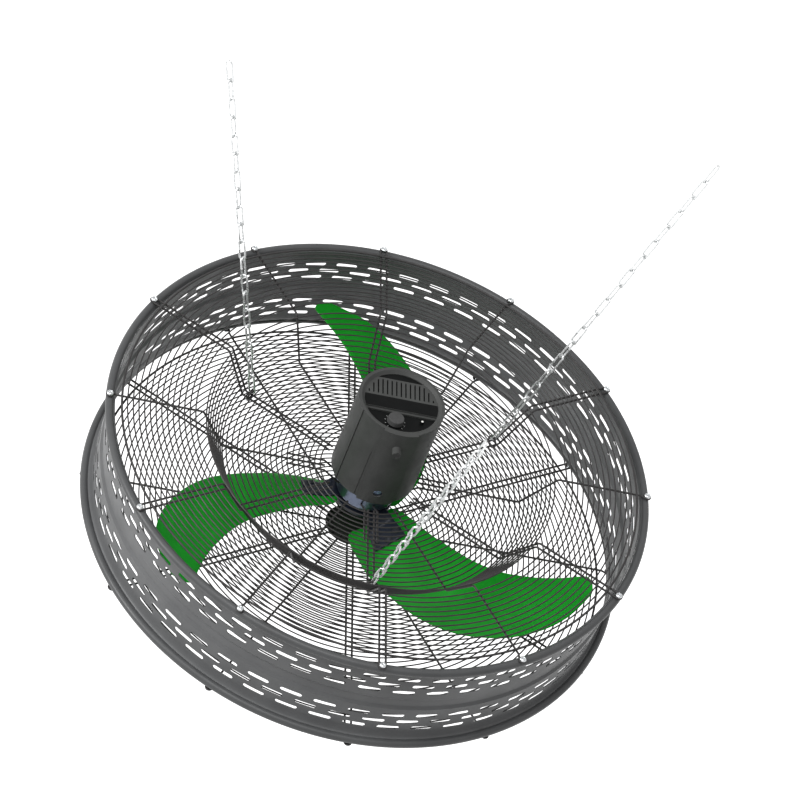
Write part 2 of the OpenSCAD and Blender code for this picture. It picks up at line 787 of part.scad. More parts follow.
// A narrow groove up the cover's side, beside the raised panel
module cover_seam() {
    translate([0, 0, cover_z - cut_over]) linear_extrude(seam_h + cut_over) difference() {
        sector(cover_r + rib_t, seam_from, seam_to);
        circle(r = cover_r - seam_depth, $fn = 128);
    }
}

// Everything on the panel's side of a line across the end face
module panel_side(edge, low, high) {
    translate([-cover_r, -2 * cover_r - edge, low]) cube([2 * cover_r, 2 * cover_r, high - low]);
}

module cover_hollow() {
    under = face_z - cover_t;
    difference() {
        translate([0, 0, cover_z - cut_over])
            cylinder(r = cover_in_r, h = under - cover_z + cut_over, $fn = 128);
        panel_side(step_edge - cover_t, panel_z - cover_t, under + cut_over);
    }
}

module face_recess() {
    translate([0, 0, face_z])
        cylinder(r1 = face_r, r2 = face_r + 2 * cover_slope_w, h = 2 * face_drop, $fn = 96);
    intersection() {
        translate([0, 0, panel_z]) cylinder(r = face_r - face_lip, h = panel_drop + cover_t, $fn = 96);
        panel_side(panel_edge, panel_z, face_z + cover_t);
    }
    intersection() {
        translate([0, 0, panel_z]) cylinder(r = face_r - face_lip, h = panel_drop + cover_t, $fn = 96);
        panel_side(step_edge, panel_z + panel_drop / 2, face_z + cover_t);
    }
    difference() {
        translate([0, 0, face_z - crescent_drop])
            cylinder(r = face_r - face_lip, h = crescent_drop + cover_t, $fn = 96);
        translate([-cover_r, crescent_edge - 2 * cover_r, face_z - cover_t])
            cube([2 * cover_r, 2 * cover_r, 3 * cover_t]);
    }
}

module louvres() {
    half = (louvre_count - 1) / 2;
    for (i = [-half : half]) {
        x = i * louvre_pitch;
        far = min(louvre_far, sqrt(max(pow(louvre_r, 2) - pow(abs(x) + louvre_w / 2, 2), 0)));
        translate([x - louvre_w / 2, louvre_near, face_z - cover_t - cut_over])
            cube([louvre_w, max(far - louvre_near, louvre_w), cover_t + 2 * cut_over]);
    }
}

module motor_cover() color(cover_plastic) hung() difference() {
    cover_outside();
    cover_hollow();
    cover_seam();
    face_recess();
    louvres();
    translate([knob_x, -knob_y, panel_z - cover_t - cut_over])
        cylinder(d = bushing_d + 2 * run_gap, h = cover_t + 2 * cut_over);
    translate([lamp_x, -lamp_y, panel_z - cover_t - cut_over])
        cylinder(d = lamp_d + 2 * seat_gap, h = cover_t + 2 * cut_over);
    for (s = [-1, 1]) translate([s * pillar_x, -pillar_y, 0]) {
        translate([0, 0, face_z - cover_t - cut_over])
            cylinder(d = cover_screw_d + 4 * seat_gap, h = cover_t + 2 * cut_over, $fn = 32);
        translate([0, 0, face_z - cover_screw_head_d / 4])
            cylinder(d1 = cover_screw_d, d2 = cover_screw_head_d + 4 * seat_gap,
                h = cover_screw_head_d / 4 + seat_gap, $fn = 32);
    }
    translate([0, -cover_r / 2, gland_z]) rotate([quarter_turn, 0, 0])
        cylinder(d = gland_body_d + 2 * seat_gap, h = cover_r);
    translate([0, -cover_r / 2, cover_z + access_h]) rotate([quarter_turn, 0, 0])
        cylinder(d = access_d, h = cover_r);
}

module label_plate() color(panel_plastic) hung() intersection() {
    translate([0, 0, face_z + seat_gap]) cylinder(r = face_r - 2 * label_t, h = label_t, $fn = 96);
    translate([-cover_r, -label_near, face_z]) cube([2 * cover_r, label_near + label_far, cover_t]);
}

module control_panel() color(panel_plastic) hung() difference() {
    intersection() {
        translate([0, 0, panel_z + seat_gap])
            cylinder(r = face_r - panel_plate_gap, h = panel_plate_t, $fn = 96);
        panel_side(panel_edge + panel_plate_gap, panel_z, panel_z + cover_t);
    }
    translate([knob_x, -knob_y, panel_z - cut_over])
        cylinder(d = nut_across / cos(half_turn / 6) + 4 * seat_gap, h = 2 * cut_over + panel_plate_t);
    translate([lamp_x, -lamp_y, panel_z - cut_over])
        cylinder(d = lamp_d + 2 * seat_gap, h = 2 * cut_over + panel_plate_t);
}

// The controls

module at_knob() {
    hung() translate([knob_x, -knob_y, 0]) children();
}

module speed_knob() color(panel_plastic) at_knob() difference() {
    union() {
        translate([0, 0, knob_z]) cylinder(d = knob_d, h = knob_h / 2);
        translate([0, 0, knob_z + knob_h / 2])
            cylinder(d1 = knob_d, d2 = knob_d - knob_skirt_t, h = knob_h / 2);
    }
    translate([0, 0, knob_z - cut_over])
        cylinder(d = nut_across / cos(half_turn / 6) + 4 * soft_gap, h = cut_over + nut_h);
    translate([0, 0, knob_z - cut_over])
        cylinder(d = knob_shaft_d + 2 * press_gap, h = shaft_top_z - knob_z + cut_over);
    translate([0, -knob_d / 2, knob_z + knob_h]) rotate([0, quarter_turn / 2, 0])
        cube([pointer_w, knob_d / 2, pointer_w], center = true);
}

module knob_shaft() color(bare_steel) at_knob() translate([0, 0, pot_z + pot_h / 2])
    cylinder(d = knob_shaft_d, h = shaft_top_z - pot_z - pot_h / 2 - seat_gap);

module knob_nut() color(zinc) at_knob() difference() {
    translate([0, 0, panel_z + seat_gap]) hexagon(nut_across, nut_h);
    translate([0, 0, panel_z - cut_over]) cylinder(d = bushing_d + 2 * press_gap, h = nut_h + 2 * cut_over);
}

module potentiometer() color(bare_steel) at_knob() difference() {
    union() {
        translate([0, 0, pot_z]) cylinder(d = pot_d, h = pot_h);
        translate([0, 0, pot_z + pot_h - seat_gap])
            cylinder(d = bushing_d, h = panel_z + nut_h - pot_z - pot_h + 2 * seat_gap);
    }
    translate([0, 0, pot_z + pot_h / 2 - seat_gap])
        cylinder(d = knob_shaft_d + 2 * run_gap, h = pot_h + bushing_l + nut_h + cover_t);
}

module control_board() color(board_green) hung()
    translate([-board_x, -board_far, board_z]) cube([2 * board_x, board_far - board_near, board_t]);

module board_components() color(copper) hung() translate([0, 0, board_z - seat_gap - component_h]) {
    for (x = [-2, 0, 2]) translate([x * component_w, -board_far + component_w, 0])
        cylinder(d = component_w, h = component_h);
    translate([-component_w, -board_near - component_w, 0])
        cube([2 * component_w, component_w, component_h]);
}

module indicator_lamp() color(lens_white) hung() translate([lamp_x, -lamp_y, 0]) {
    top = panel_z + panel_plate_t + lamp_rise;
    translate([0, 0, top - lamp_body_h]) cylinder(d = lamp_d, h = lamp_body_h);
    translate([0, 0, top]) intersection() {
        sphere(d = lamp_d);
        cylinder(d = lamp_d, h = lamp_d);
    }
}

module cord_gland() color(cover_plastic) hung() translate([0, 0, gland_z]) rotate([quarter_turn, 0, 0])
    difference() {
        union() {
            translate([0, 0, gland_inner_r])
                cylinder(d = gland_body_d, h = gland_wall_r - gland_inner_r + 3 * seat_gap);
            translate([0, 0, gland_wall_r + 2 * seat_gap]) cylinder(d = gland_d, h = gland_l);
        }
        translate([0, 0, gland_inner_r - cut_over])
            cylinder(d = gland_bore_d, h = gland_wall_r + gland_l - gland_inner_r + 2 * cut_over);
    }

module gland_nut() color(cover_plastic) hung() translate([0, 0, gland_z]) rotate([quarter_turn, 0, 0])
    translate([0, 0, gland_inner_r + seat_gap]) difference() {
        hexagon(gland_nut_across, gland_nut_t);
        translate([0, 0, -cut_over])
            cylinder(d = gland_body_d + 2 * press_gap, h = gland_nut_t + 2 * cut_over);
    }

module run_capacitor() color(case_grey) hung()
    translate([-cap_x / 2, cap_off - cap_y / 2, pillar_z]) cube([cap_x, cap_y, cap_h]);

module cover_pillars() color(bare_steel) hung() for (s = [-1, 1]) translate([s * pillar_x, -pillar_y, 0])
    difference() {
        union() {
            translate([0, 0, pillar_z]) cylinder(d = pillar_d, h = pillar_top_z - pillar_z);
            translate([0, 0, pillar_z - shield_t]) cylinder(d = pillar_stud_d, h = shield_t + seat_gap);
        }
        translate([0, 0, pillar_top_z - cover_screw_l])
            cylinder(r = pillar_thread_r, h = cover_screw_l + cut_over);
    }

module cover_screws() color(zinc) hung() for (s = [-1, 1]) translate([s * pillar_x, -pillar_y, 0]) {
    head = cover_screw_head_d / 4;
    translate([0, 0, face_z - head])
        cylinder(d1 = cover_screw_d, d2 = cover_screw_head_d, h = head, $fn = 32);
    translate([0, 0, face_z - cover_screw_l])
        cylinder(d = cover_screw_d, h = cover_screw_l - head, $fn = 32);
}

// The motor

// The bell's outline, from the flange down and round its lower edge, at a distance inside its wall
module bell_outline(inside, top) {
    edge = bell_edge_r - inside;
    polygon([[0, bell_z + inside], [bell_r - inside - edge, bell_z + inside],
        [bell_r - inside, bell_z + inside + edge], [bell_r - inside, top], [0, top]]);
    translate([bell_r - inside - edge, bell_z + inside + edge]) circle(r = edge, $fn = 48);
}

module mounting_flange() color(blue_steel) hung() difference() {
    union() {
        translate([0, 0, flange_z]) cylinder(r = flange_r, h = flange_t, $fn = 128);
        rotate_extrude($fn = 128) bell_outline(0, flange_z + seat_gap);
    }
    difference() {
        rotate_extrude($fn = 128) bell_outline(bell_t, flange_z + flange_t + cut_over);
        translate([0, 0, bell_z]) cylinder(r = bearing_boss_r, h = flange_t + bearing_w + seat_gap);
    }
    translate([0, 0, bell_z + flange_t]) cylinder(d = bearing_d + 2 * bearing_pocket_gap, h = bell_h);
    translate([0, 0, bell_z - cut_over]) cylinder(d = shaft_d + 4 * soft_gap, h = bell_h);
    around(tie_count, tie_phase) translate([tie_r, 0, flange_z - cut_over])
        cylinder(d = tie_d + 2 * seat_gap, h = flange_t + 2 * cut_over, $fn = 32);
    around(bracket_count) for (s = [-1, 1]) translate([rod_foot_r, s * rod_half, rod_foot_z])
        rotate([0, atan2(rod_bend_r - rod_foot_r, rod_drop), 0]) translate([0, 0, -cut_over])
            cylinder(d = wire_d + 2 * seat_gap, h = bell_t + 4 * cut_over, $fn = 24);
}

module motor_frame() color(blue_steel) hung() translate([0, 0, frame_z])
    tube(frame_r, frame_r - frame_t, frame_h);

module upper_end_shield() color(blue_steel) hung() difference() {
    union() {
        translate([0, 0, shield_z]) cylinder(r = frame_r, h = shield_t);
        translate([0, 0, upper_bearing_z]) cylinder(r = bearing_boss_r, h = bearing_w + 2 * seat_gap);
    }
    translate([0, 0, upper_bearing_z - cut_over])
        cylinder(d = bearing_d + 2 * bearing_pocket_gap, h = bearing_w + cut_over + seat_gap);
    around(tie_count, tie_phase) translate([tie_r, 0, shield_z - cut_over])
        cylinder(d = tie_d + 2 * seat_gap, h = shield_t + 2 * cut_over, $fn = 32);
    for (s = [-1, 1]) translate([s * pillar_x, -pillar_y, shield_z - cut_over])
        cylinder(d = pillar_stud_d + 2 * seat_gap, h = shield_t + 2 * cut_over, $fn = 32);
}

module tie_bolts() color(zinc) hung() around(tie_count, tie_phase) translate([tie_r, 0, 0]) {
    foot = flange_z - tie_head_h - 2 * seat_gap;
    translate([0, 0, foot]) cylinder(d = tie_d, h = shield_z + shield_t - foot + 2 * seat_gap, $fn = 32);
    translate([0, 0, shield_z + shield_t + seat_gap]) cylinder(d = tie_head_d, h = tie_head_h);
}

module tie_nuts() color(zinc) hung() around(tie_count, tie_phase)
    translate([tie_r, 0, flange_z - tie_head_h - seat_gap]) difference() {
        hexagon(tie_head_d, tie_head_h);
        translate([0, 0, -cut_over])
            cylinder(d = tie_d + 2 * press_gap, h = tie_head_h + 2 * cut_over, $fn = 32);
    }

module stator_core() color(bare_steel) hung() translate([0, 0, stack_z]) difference() {
    tube(stator_r, stator_bore_r, stack_h);
    around(stator_slots) translate([stator_bore_r + tooth_tip, -stator_slot_w / 2, -cut_over])
        cube([stator_yoke_r - stator_bore_r - tooth_tip, stator_slot_w, stack_h + 2 * cut_over]);
    around(stator_slots) translate([stator_bore_r - cut_over, -stator_mouth_w / 2, -cut_over])
        cube([2 * cut_over, stator_mouth_w, stack_h + 2 * cut_over]);
    around(tie_count, tie_phase) translate([tie_r, 0, -cut_over])
        cylinder(d = tie_d + 2 * seat_gap, h = stack_h + 2 * cut_over, $fn = 32);
}

module stator_windings() color(copper) hung() {
    bar_w = stator_slot_w - 4 * seat_gap;
    translate([0, 0, stack_z - coil_head_h - seat_gap]) tube(coil_r, coil_in_r, coil_head_h);
    translate([0, 0, stack_z + stack_h + seat_gap]) tube(coil_r, coil_in_r, coil_head_h);
    around(stator_slots) translate([coil_in_r + tooth_tip / 2, -bar_w / 2, stack_z - coil_head_h / 2])
        cube([coil_r - coil_in_r - tooth_tip, bar_w, stack_h + coil_head_h]);
}

module rotor_core() color(cast_grey) hung() translate([0, 0, stack_z])
    tube(rotor_r, rotor_shaft_d / 2 + press_gap, stack_h);

module motor_shaft() color(bare_steel) hung() {
    shoulder_low = lower_bearing_z + bearing_w + seat_gap;
    shoulder_high = upper_bearing_z - seat_gap;
    top = upper_bearing_z + bearing_w - seat_gap;
    thread_top = hub_top_z - hub_t - boss_down;
    translate([0, 0, thread_top]) cylinder(d = shaft_d, h = top - thread_top);
    translate([0, 0, shoulder_low]) cylinder(d = rotor_shaft_d, h = shoulder_high - shoulder_low);
    translate([0, 0, shaft_foot_z]) cylinder(d = thread_d, h = thread_top - shaft_foot_z + seat_gap);
}

// The bearings

module at_bearings() {
    hung() for (z = [lower_bearing_z, upper_bearing_z]) translate([0, 0, z + seat_gap / 2]) children();
}

module groove() {
    translate([0, 0, bearing_w / 2]) rotate_extrude() translate([bearing_mid_r, 0])
        circle(d = ball_d + 2 * run_gap, $fn = 32);
}

module bearing_outer_rings() color(bare_steel) at_bearings() difference() {
    tube(bearing_d / 2, race_out_r, bearing_w - seat_gap);
    groove();
}

module bearing_inner_rings() color(bare_steel) at_bearings() difference() {
    tube(race_in_r, shaft_d / 2 + press_gap, bearing_w - seat_gap);
    groove();
}

module bearing_balls() color(zinc) at_bearings() around(ball_count)
    translate([bearing_mid_r, 0, bearing_w / 2]) sphere(d = ball_d, $fn = 32);

// The hub and blades

module hub() color(arm_paint) hung() difference() {
    union() {
        translate([0, 0, hub_top_z - hub_t]) cylinder(r = hub_r, h = hub_t);
        translate([0, 0, hub_top_z - hub_t - boss_down])
            cylinder(r = boss_r, h = boss_down + hub_t + boss_up);
    }
    translate([0, 0, hub_top_z - hub_t - boss_down - cut_over])
        cylinder(d = shaft_d + 2 * press_gap, h = boss_down + hub_t + boss_up + 2 * cut_over);
    around(blade_count, blade_phase + arm_azimuth) for (s = [-1, 1])
        translate([bolt_r, s * bolt_half, hub_top_z - hub_t - cut_over])
            cylinder(d = bolt_d + 2 * seat_gap, h = hub_t + 2 * cut_over, $fn = 32);
    translate([0, 0, set_screw_z]) rotate([0, quarter_turn, 0])
        cylinder(d = set_screw_d + 2 * seat_gap, h = 2 * boss_r, $fn = 32);
}

module hub_nut() color(zinc) hung() translate([0, 0, hub_top_z - hub_t - boss_down - seat_gap - hub_nut_h])
    difference() {
        hexagon(hub_nut_across, hub_nut_h);
        translate([0, 0, -cut_over]) cylinder(d = thread_d + 2 * press_gap, h = hub_nut_h + 2 * cut_over);
    }

module hub_set_screw() color(bare_steel) hung()
    translate([shaft_d / 2 + seat_gap, 0, set_screw_z]) rotate([0, quarter_turn, 0])
        cylinder(d = set_screw_d, h = set_screw_l, $fn = 32);

// A thin sheet between two grids of points, rows of equal length
module sheet(top, bottom) {
    rows = len(top);
    cols = len(top[0]);
    total = rows * cols;
    points = concat([for (row = top) each row], [for (row = bottom) each row]);
    function at(i, j, side) = side * total + i * cols + j;
    faces = concat(
        [for (i = [0 : rows - 2]) for (j = [0 : cols - 2]) for (f = [
            [at(i, j, 0), at(i + 1, j, 0), at(i + 1, j + 1, 0)],
            [at(i, j, 0), at(i + 1, j + 1, 0), at(i, j + 1, 0)],
            [at(i, j, 1), at(i + 1, j + 1, 1), at(i + 1, j, 1)],
            [at(i, j, 1), at(i, j + 1, 1), at(i + 1, j + 1, 1)]]) f],
        [for (i = [0 : rows - 2]) for (f = [
            [at(i, 0, 0), at(i, 0, 1), at(i + 1, 0, 1)],
            [at(i, 0, 0), at(i + 1, 0, 1), at(i + 1, 0, 0)],
            [at(i, cols - 1, 0), at(i + 1, cols - 1, 0), at(i + 1, cols - 1, 1)],
            [at(i, cols - 1, 0), at(i + 1, cols - 1, 1), at(i, cols - 1, 1)]]) f],
        [for (j = [0 : cols - 2]) for (f = [
            [at(0, j, 0), at(0, j + 1, 0), at(0, j + 1, 1)],
            [at(0, j, 0), at(0, j + 1, 1), at(0, j, 1)],
            [at(rows - 1, j, 0), at(rows - 1, j, 1), at(rows - 1, j + 1, 1)],
            [at(rows - 1, j, 0), at(rows - 1, j + 1, 1), at(rows - 1, j + 1, 0)]]) f]);
    polyhedron(points = points, faces = faces, convexity = 8);
}

function lowered(grid, drop) = [for (row = grid) [for (p = row) p - [0, 0, drop]]];

module blade(number) {
    grid = [for (row = blade_shares) [for (j = [0 : blade_chord_steps])
        blade_point(row[0], j / blade_chord_steps)]];
    color(blade_green) hung() rotate(blade_phase + (number - 1) * full_turn / blade_count) difference() {
        sheet(grid, lowered(grid, blade_t));
        rivets(rivet_d + 4 * seat_gap, false);
    }
}

module blade_1() blade(1);

module blade_2() blade(2);

module blade_3() blade(3);

module arm() {
    grid = [for (i = [0 : arm_long_steps]) [for (j = [0 : arm_cross_steps])
        arm_point(arm_root_r + (arm_r - arm_root_r) * i / arm_long_steps, 2 * j / arm_cross_steps - 1)]];
    difference() {
        sheet([for (row = grid) [for (p = row) p + [0, 0, arm_t]]], grid);
        rivets(rivet_d + 4 * seat_gap, false);
        rotate(arm_azimuth) for (s = [-1, 1]) translate([bolt_r, s * bolt_half, arm_hub_z - cut_over])
            cylinder(d = bolt_d + 2 * seat_gap, h = arm_t + 2 * cut_over, $fn = 32);
    }
}

module blade_arms() color(arm_paint) hung() around(blade_count, blade_phase) arm();

// Rivets square to the arm: a head on the arm and a tail under the blade
module rivets(d, heads) {
    for (place = rivet_places_shares) {
        point = arm_point(place[0] * arm_r, place[1]);
        n = arm_normal(place[0] * arm_r, place[1]);
        tail = arm_lift + blade_t + rivet_head_h / 2;
        head = arm_t + (heads ? rivet_head_h / 4 : rivet_head_h);
        translate(point) rotate([0, acos(n[2]), atan2(n[1], n[0])]) {
            translate([0, 0, -tail]) cylinder(d = d, h = tail + head, $fn = 32);
            if (heads) translate([0, 0, head])
                cylinder(d1 = rivet_head_d, d2 = rivet_head_d / 2, h = rivet_head_h * 3 / 4, $fn = 32);
        }
    }
}

module blade_rivets() color(zinc) hung() around(blade_count, blade_phase) rivets(rivet_d, true);

module hub_bolts() color(zinc) hung() around(blade_count, blade_phase + arm_azimuth) for (s = [-1, 1])
    translate([bolt_r, s * bolt_half, arm_hub_z + arm_t + seat_gap]) {
        cylinder(d = bolt_head_d, h = bolt_head_h, $fn = 32);
        translate([0, 0, -arm_t - hub_t - 2 * seat_gap])
            cylinder(d = bolt_d, h = arm_t + hub_t + 3 * seat_gap, $fn = 32);
    }

drum_shell();
inlet_rim();
outlet_rim();
inlet_guard_outer_rings();
inlet_guard_step_rings();
inlet_guard_inner_rings();
inlet_guard_double_wires();
inlet_guard_single_wires();
motor_bracket_rods();
outlet_guard_outer_rings();
outlet_guard_middle_rings();
outlet_guard_inner_rings();
outlet_guard_double_wires();
outlet_guard_single_wires();
outlet_guard_disc();
inlet_guard_screws();
outlet_guard_screws();
chain_eyes();
chain_1();
chain_2();
chain_3();
chain_1_top_link();
chain_2_top_link();
chain_3_top_link();
motor_cover();
label_plate();
control_panel();
speed_knob();
knob_shaft();
knob_nut();
potentiometer();
control_board();
board_components();
indicator_lamp();
cord_gland();
gland_nut();
run_capacitor();
cover_pillars();
cover_screws();
mounting_flange();
motor_frame();
upper_end_shield();
tie_bolts();
tie_nuts();
stator_core();
stator_windings();
rotor_core();
motor_shaft();
bearing_outer_rings();
bearing_inner_rings();
bearing_balls();
hub();
hub_nut();
hub_set_screw();
blade_arms();
blade_1();
blade_2();
blade_3();
blade_rivets();
hub_bolts();
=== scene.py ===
"""A drum fan that hangs from three chains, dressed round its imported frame. Sizes are in metres."""
import math

import bmesh
import bpy
import numpy as np
from mathutils import Matrix, Vector
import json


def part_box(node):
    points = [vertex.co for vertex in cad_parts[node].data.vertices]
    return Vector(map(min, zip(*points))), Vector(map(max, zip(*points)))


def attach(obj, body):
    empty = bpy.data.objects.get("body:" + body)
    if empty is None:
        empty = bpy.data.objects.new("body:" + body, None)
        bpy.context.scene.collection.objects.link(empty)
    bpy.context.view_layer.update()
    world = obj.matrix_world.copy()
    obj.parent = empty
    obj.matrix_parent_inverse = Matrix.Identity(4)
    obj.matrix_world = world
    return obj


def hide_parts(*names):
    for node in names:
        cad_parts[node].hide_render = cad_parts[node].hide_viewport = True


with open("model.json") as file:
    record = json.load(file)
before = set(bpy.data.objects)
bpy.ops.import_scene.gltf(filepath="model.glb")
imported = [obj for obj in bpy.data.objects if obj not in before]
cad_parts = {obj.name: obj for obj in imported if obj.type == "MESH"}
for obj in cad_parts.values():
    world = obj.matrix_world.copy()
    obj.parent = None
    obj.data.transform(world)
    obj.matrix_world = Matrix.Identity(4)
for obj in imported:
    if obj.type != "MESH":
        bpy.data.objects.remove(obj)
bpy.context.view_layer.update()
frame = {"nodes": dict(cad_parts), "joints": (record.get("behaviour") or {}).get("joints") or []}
NODES = frame["nodes"]
JOINTS = {joint["name"]: joint for joint in frame["joints"]}
MM = 0.001
TURN = 2 * math.pi

# Camera: where the photograph was taken from, measured from the hanging points
CAMERA_PLACE = (-0.7865, -2.6232, 2.4021)
CAMERA_TURN = (42.9488, -16.0718, -0.0668)
CAMERA_LENS = 148.835
CAMERA_SENSOR = 36

# Heights: the plane of the inlet guard's outer wires, and others measured from it. Sizes here and
# below are those of the part's source
GUARD_Z = -389.29 * MM
SEAT = 0.05 * MM
WIRE = 2.6 * MM
RING_WIRE = 1.8 * MM
EDGE_WIRE = 2.8 * MM
RIM_TUBE = 10.5 * MM
DRUM_H = 132.8 * MM
INLET_RIM_Z = GUARD_Z - (WIRE + RIM_TUBE) / 2 - SEAT
OUTLET_RIM_Z = INLET_RIM_Z - DRUM_H
OUTLET_WIRE_Z = OUTLET_RIM_Z + INLET_RIM_Z - GUARD_Z
DIP = 51.6 * MM
DIP_Z = GUARD_Z - DIP
INLET_RIM_R = 328.5 * MM
OUTLET_RIM_R = 330 * MM

# Guards
SCREW_CIRCLE = 330 * MM
EDGE_RING_R = 315.8 * MM
RING_PITCH = 6.77 * MM
OUTER_RINGS = 14
STEP_RINGS = 9
INNER_RINGS = 18
OUTLET_RINGS = 42
STEP_TOP_R = 218 * MM
STEP_FOOT_R = 184 * MM
WIRE_BEND = 5 * MM
PAIR_HALF = 3.8 * MM
RADIALS = 12
WIRE_FOOT_R = 57.5 * MM
DISC_R = 30.7 * MM
HOOK_LEAD_SHARE = 2.3
DISC_REACH_SHARE = 0.65

# Chains
EYE_R = 175.4 * MM
LINK_WIRE = 2.5 * MM
LINK_W = 10 * MM
LINK_INNER = 24.3 * MM
LINKS = 19
LEAN = math.radians(20.3)

# Motor cover: its foot, and the access hole in its side
COVER_Z = DIP_Z + 10.15 * MM
ACCESS_D = 11 * MM
ACCESS_H = 18 * MM

# Blades and their arms
BLADES = 3
BLADE_PHASE = 150
BLADE_TIP_R = 298.7 * MM
BLADE_DEPTH = 47.9 * MM
BLADE_TOP_Z = DIP_Z - 19.4 * MM
BLADE_T = 2 * MM
CAMBER_POWER = 1.35
ARM_T = 2.5 * MM
ARM_ROOT_R = 16.5 * MM
ARM_TIP_R = 74 * MM
ARM_ROOT_W = 25 * MM
ARM_TIP_W = 38 * MM
ARM_TURN = 30
HUB_TOP_Z = DIP_Z - 34.8 * MM + SEAT

# Stage: the floor lies far below, and the lamps face the middle of the fan
FLOOR_SIZE = 60
FLOOR_Z = -2.6
FAN_MIDDLE = Vector((0, 0, -0.4))

# A turned or ringed surface starts this far from its axis, and a small cap closes it
POLE_R = 0.05 * MM


def smooth(t):
    """0 below 0, 1 above 1, and 3t^2 - 2t^3 between."""
    t = np.clip(t, 0, 1)
    return t * t * (3 - 2 * t)


def turned(points, degrees):
    """Points turned about the Z axis."""
    a = math.radians(degrees)
    matrix = np.array([[math.cos(a), -math.sin(a), 0], [math.sin(a), math.cos(a), 0], [0, 0, 1]])
    return np.asarray(points, float) @ matrix.T


def grid(points, wrap_rows=False, wrap_columns=False, caps=False):
    """A surface from points[row, column]. A face's outside is where row direction x column direction
    points. With caps the first and last rows, which are closed rings, are filled."""
    rows, columns = points.shape[:2]
    index = np.arange(rows * columns).reshape(rows, columns)
    here, below = (index, np.roll(index, -1, 0)) if wrap_rows else (index[:-1], index[1:])
    if wrap_columns:
        corners = [here, below, np.roll(below, -1, 1), np.roll(here, -1, 1)]
    else:
        corners = [here[:, :-1], below[:, :-1], below[:, 1:], here[:, 1:]]
    faces = np.stack(corners, -1).reshape(-1, 4).tolist()
    if caps:
        faces.append(index[0].tolist())
        faces.append(index[-1][::-1].tolist())
    return points.reshape(-1, 3), faces


def swept(path, thickness, sides=10, closed=False, up=(0, 0, 1)):
    """A round section carried along a path: each point stands off the path by half the thickness, in the
    plane across the path's direction. thickness is one number or one for each point."""
    path = np.asarray(path, float)
    ahead = np.roll(path, -1, 0) - np.roll(path, 1, 0) if closed else np.gradient(path, axis=0)
    ahead = ahead / np.linalg.norm(ahead, axis=1, keepdims=True)
    side = np.cross(ahead, up)
    side = side / np.linalg.norm(side, axis=1, keepdims=True)
    rise = np.cross(side, ahead)
    angle = TURN * (np.arange(sides) + 0.5) / sides
    radius = np.broadcast_to(np.asarray(thickness, float) / 2, (len(path),))
    ring = np.cos(angle)[None, :, None] * side[:, None] + np.sin(angle)[None, :, None] * rise[:, None]
    points = path[:, None] + radius[:, None, None] * ring
    return grid(points, wrap_rows=closed, wrap_columns=True, caps=not closed)


def hoop(radius, z, thickness, steps=192, sides=8):
    """A ring of round wire: a circle about the Z axis with a round section carried along it."""
    angle = TURN * np.arange(steps) / steps
    path = np.stack([radius * np.cos(angle), radius * np.sin(angle), np.full(steps, z)], 1)
    return swept(path, thickness, sides, closed=True)


def lathe(profile, steps=64, centre=(0, 0, 0)):
    """A profile of (radius, height) points, from the top outwards and down, turned about a vertical axis."""
    profile = np.asarray(profile, float)
    angle = TURN * np.arange(steps) / steps
    x = profile[:, :1] * np.cos(angle)
    y = profile[:, :1] * np.sin(angle)
    z = np.repeat(profile[:, 1:], steps, 1)
    points = np.stack([x, y, z], -1) + np.asarray(centre, float)
    return grid(points, wrap_columns=True, caps=True)


def plate(middle, thickness, edge_steps=4):
    """A bent plate of even thickness with round edges. The faces stand off the middle surface
    middle[row, column] by half the thickness along its normal, and an arc joins them round the border."""
    down = np.gradient(middle, axis=0)
    across = np.gradient(middle, axis=1)
    normal = np.cross(down, across)
    normal = normal / np.linalg.norm(normal, axis=2, keepdims=True)
    half = thickness / 2
    top = grid(middle + half * normal)
    bottom_points, bottom_faces = grid(middle - half * normal)
    bottom = (bottom_points, [face[::-1] for face in bottom_faces])
    border = [(slice(0, -1), 0), (-1, slice(0, -1)), (slice(None, 0, -1), -1), (0, slice(None, 0, -1))]
    loop = np.concatenate([middle[part] for part in border])
    loop_normal = np.concatenate([normal[part] for part in border])
    along = np.roll(loop, -1, 0) - np.roll(loop, 1, 0)
    outward = np.cross(along, loop_normal)
    outward = outward / np.linalg.norm(outward, axis=1, keepdims=True)
    centre = middle.reshape(-1, 3).mean(0)
    if ((loop - centre) * outward).sum() < 0:
        outward = -outward
    bend = np.linspace(-math.pi / 2, math.pi / 2, edge_steps + 1)
    arc = (loop[:, None] + half * (np.cos(bend)[None, :, None] * outward[:, None]
                                   + np.sin(bend)[None, :, None] * loop_normal[:, None]))
    return joined([top, bottom, grid(arc, wrap_rows=True)])


def block(low, high):
    """A box between two corners."""
    x, y, z = zip(low, high)
    points = np.array([(x[i], y[j], z[k]) for i in (0, 1) for j in (0, 1) for k in (0, 1)], float)
    faces = [[0, 1, 3, 2], [4, 6, 7, 5], [0, 4, 5, 1], [2, 3, 7, 6], [0, 2, 6, 4], [1, 5, 7, 3]]
    return points, faces


def joined(shapes):
    """Several shapes as one list of points and one of faces."""
    points, faces, start = [], [], 0
    for shape_points, shape_faces in shapes:
        points.append(shape_points)
        faces += [[corner + start for corner in face] for face in shape_faces]
        start += len(shape_points)
    return np.concatenate(points), faces


def spun(shape, degrees):
    """A shape turned about the Z axis."""
    return turned(shape[0], degrees), shape[1]


def around(shape, count, phase=0):
    """Copies of a shape at even steps about the Z axis."""
    return joined([spun(shape, phase + 360 * i / count) for i in range(count)])


def moved(shape, offset):
    """A shape moved by an offset."""
    return shape[0] + np.asarray(offset, float), shape[1]


def lying(shape):
    """A shape tipped about the X axis, so that its top faces the cover's front, along -Y."""
    return shape[0] @ np.array(Matrix.Rotation(math.radians(90), 3, "X")).T, shape[1]


def plan_centre(name):
    """The middle of a CAD node's box, seen from above."""
    low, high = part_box(name)
    return (low.x + high.x) / 2, (low.y + high.y) / 2


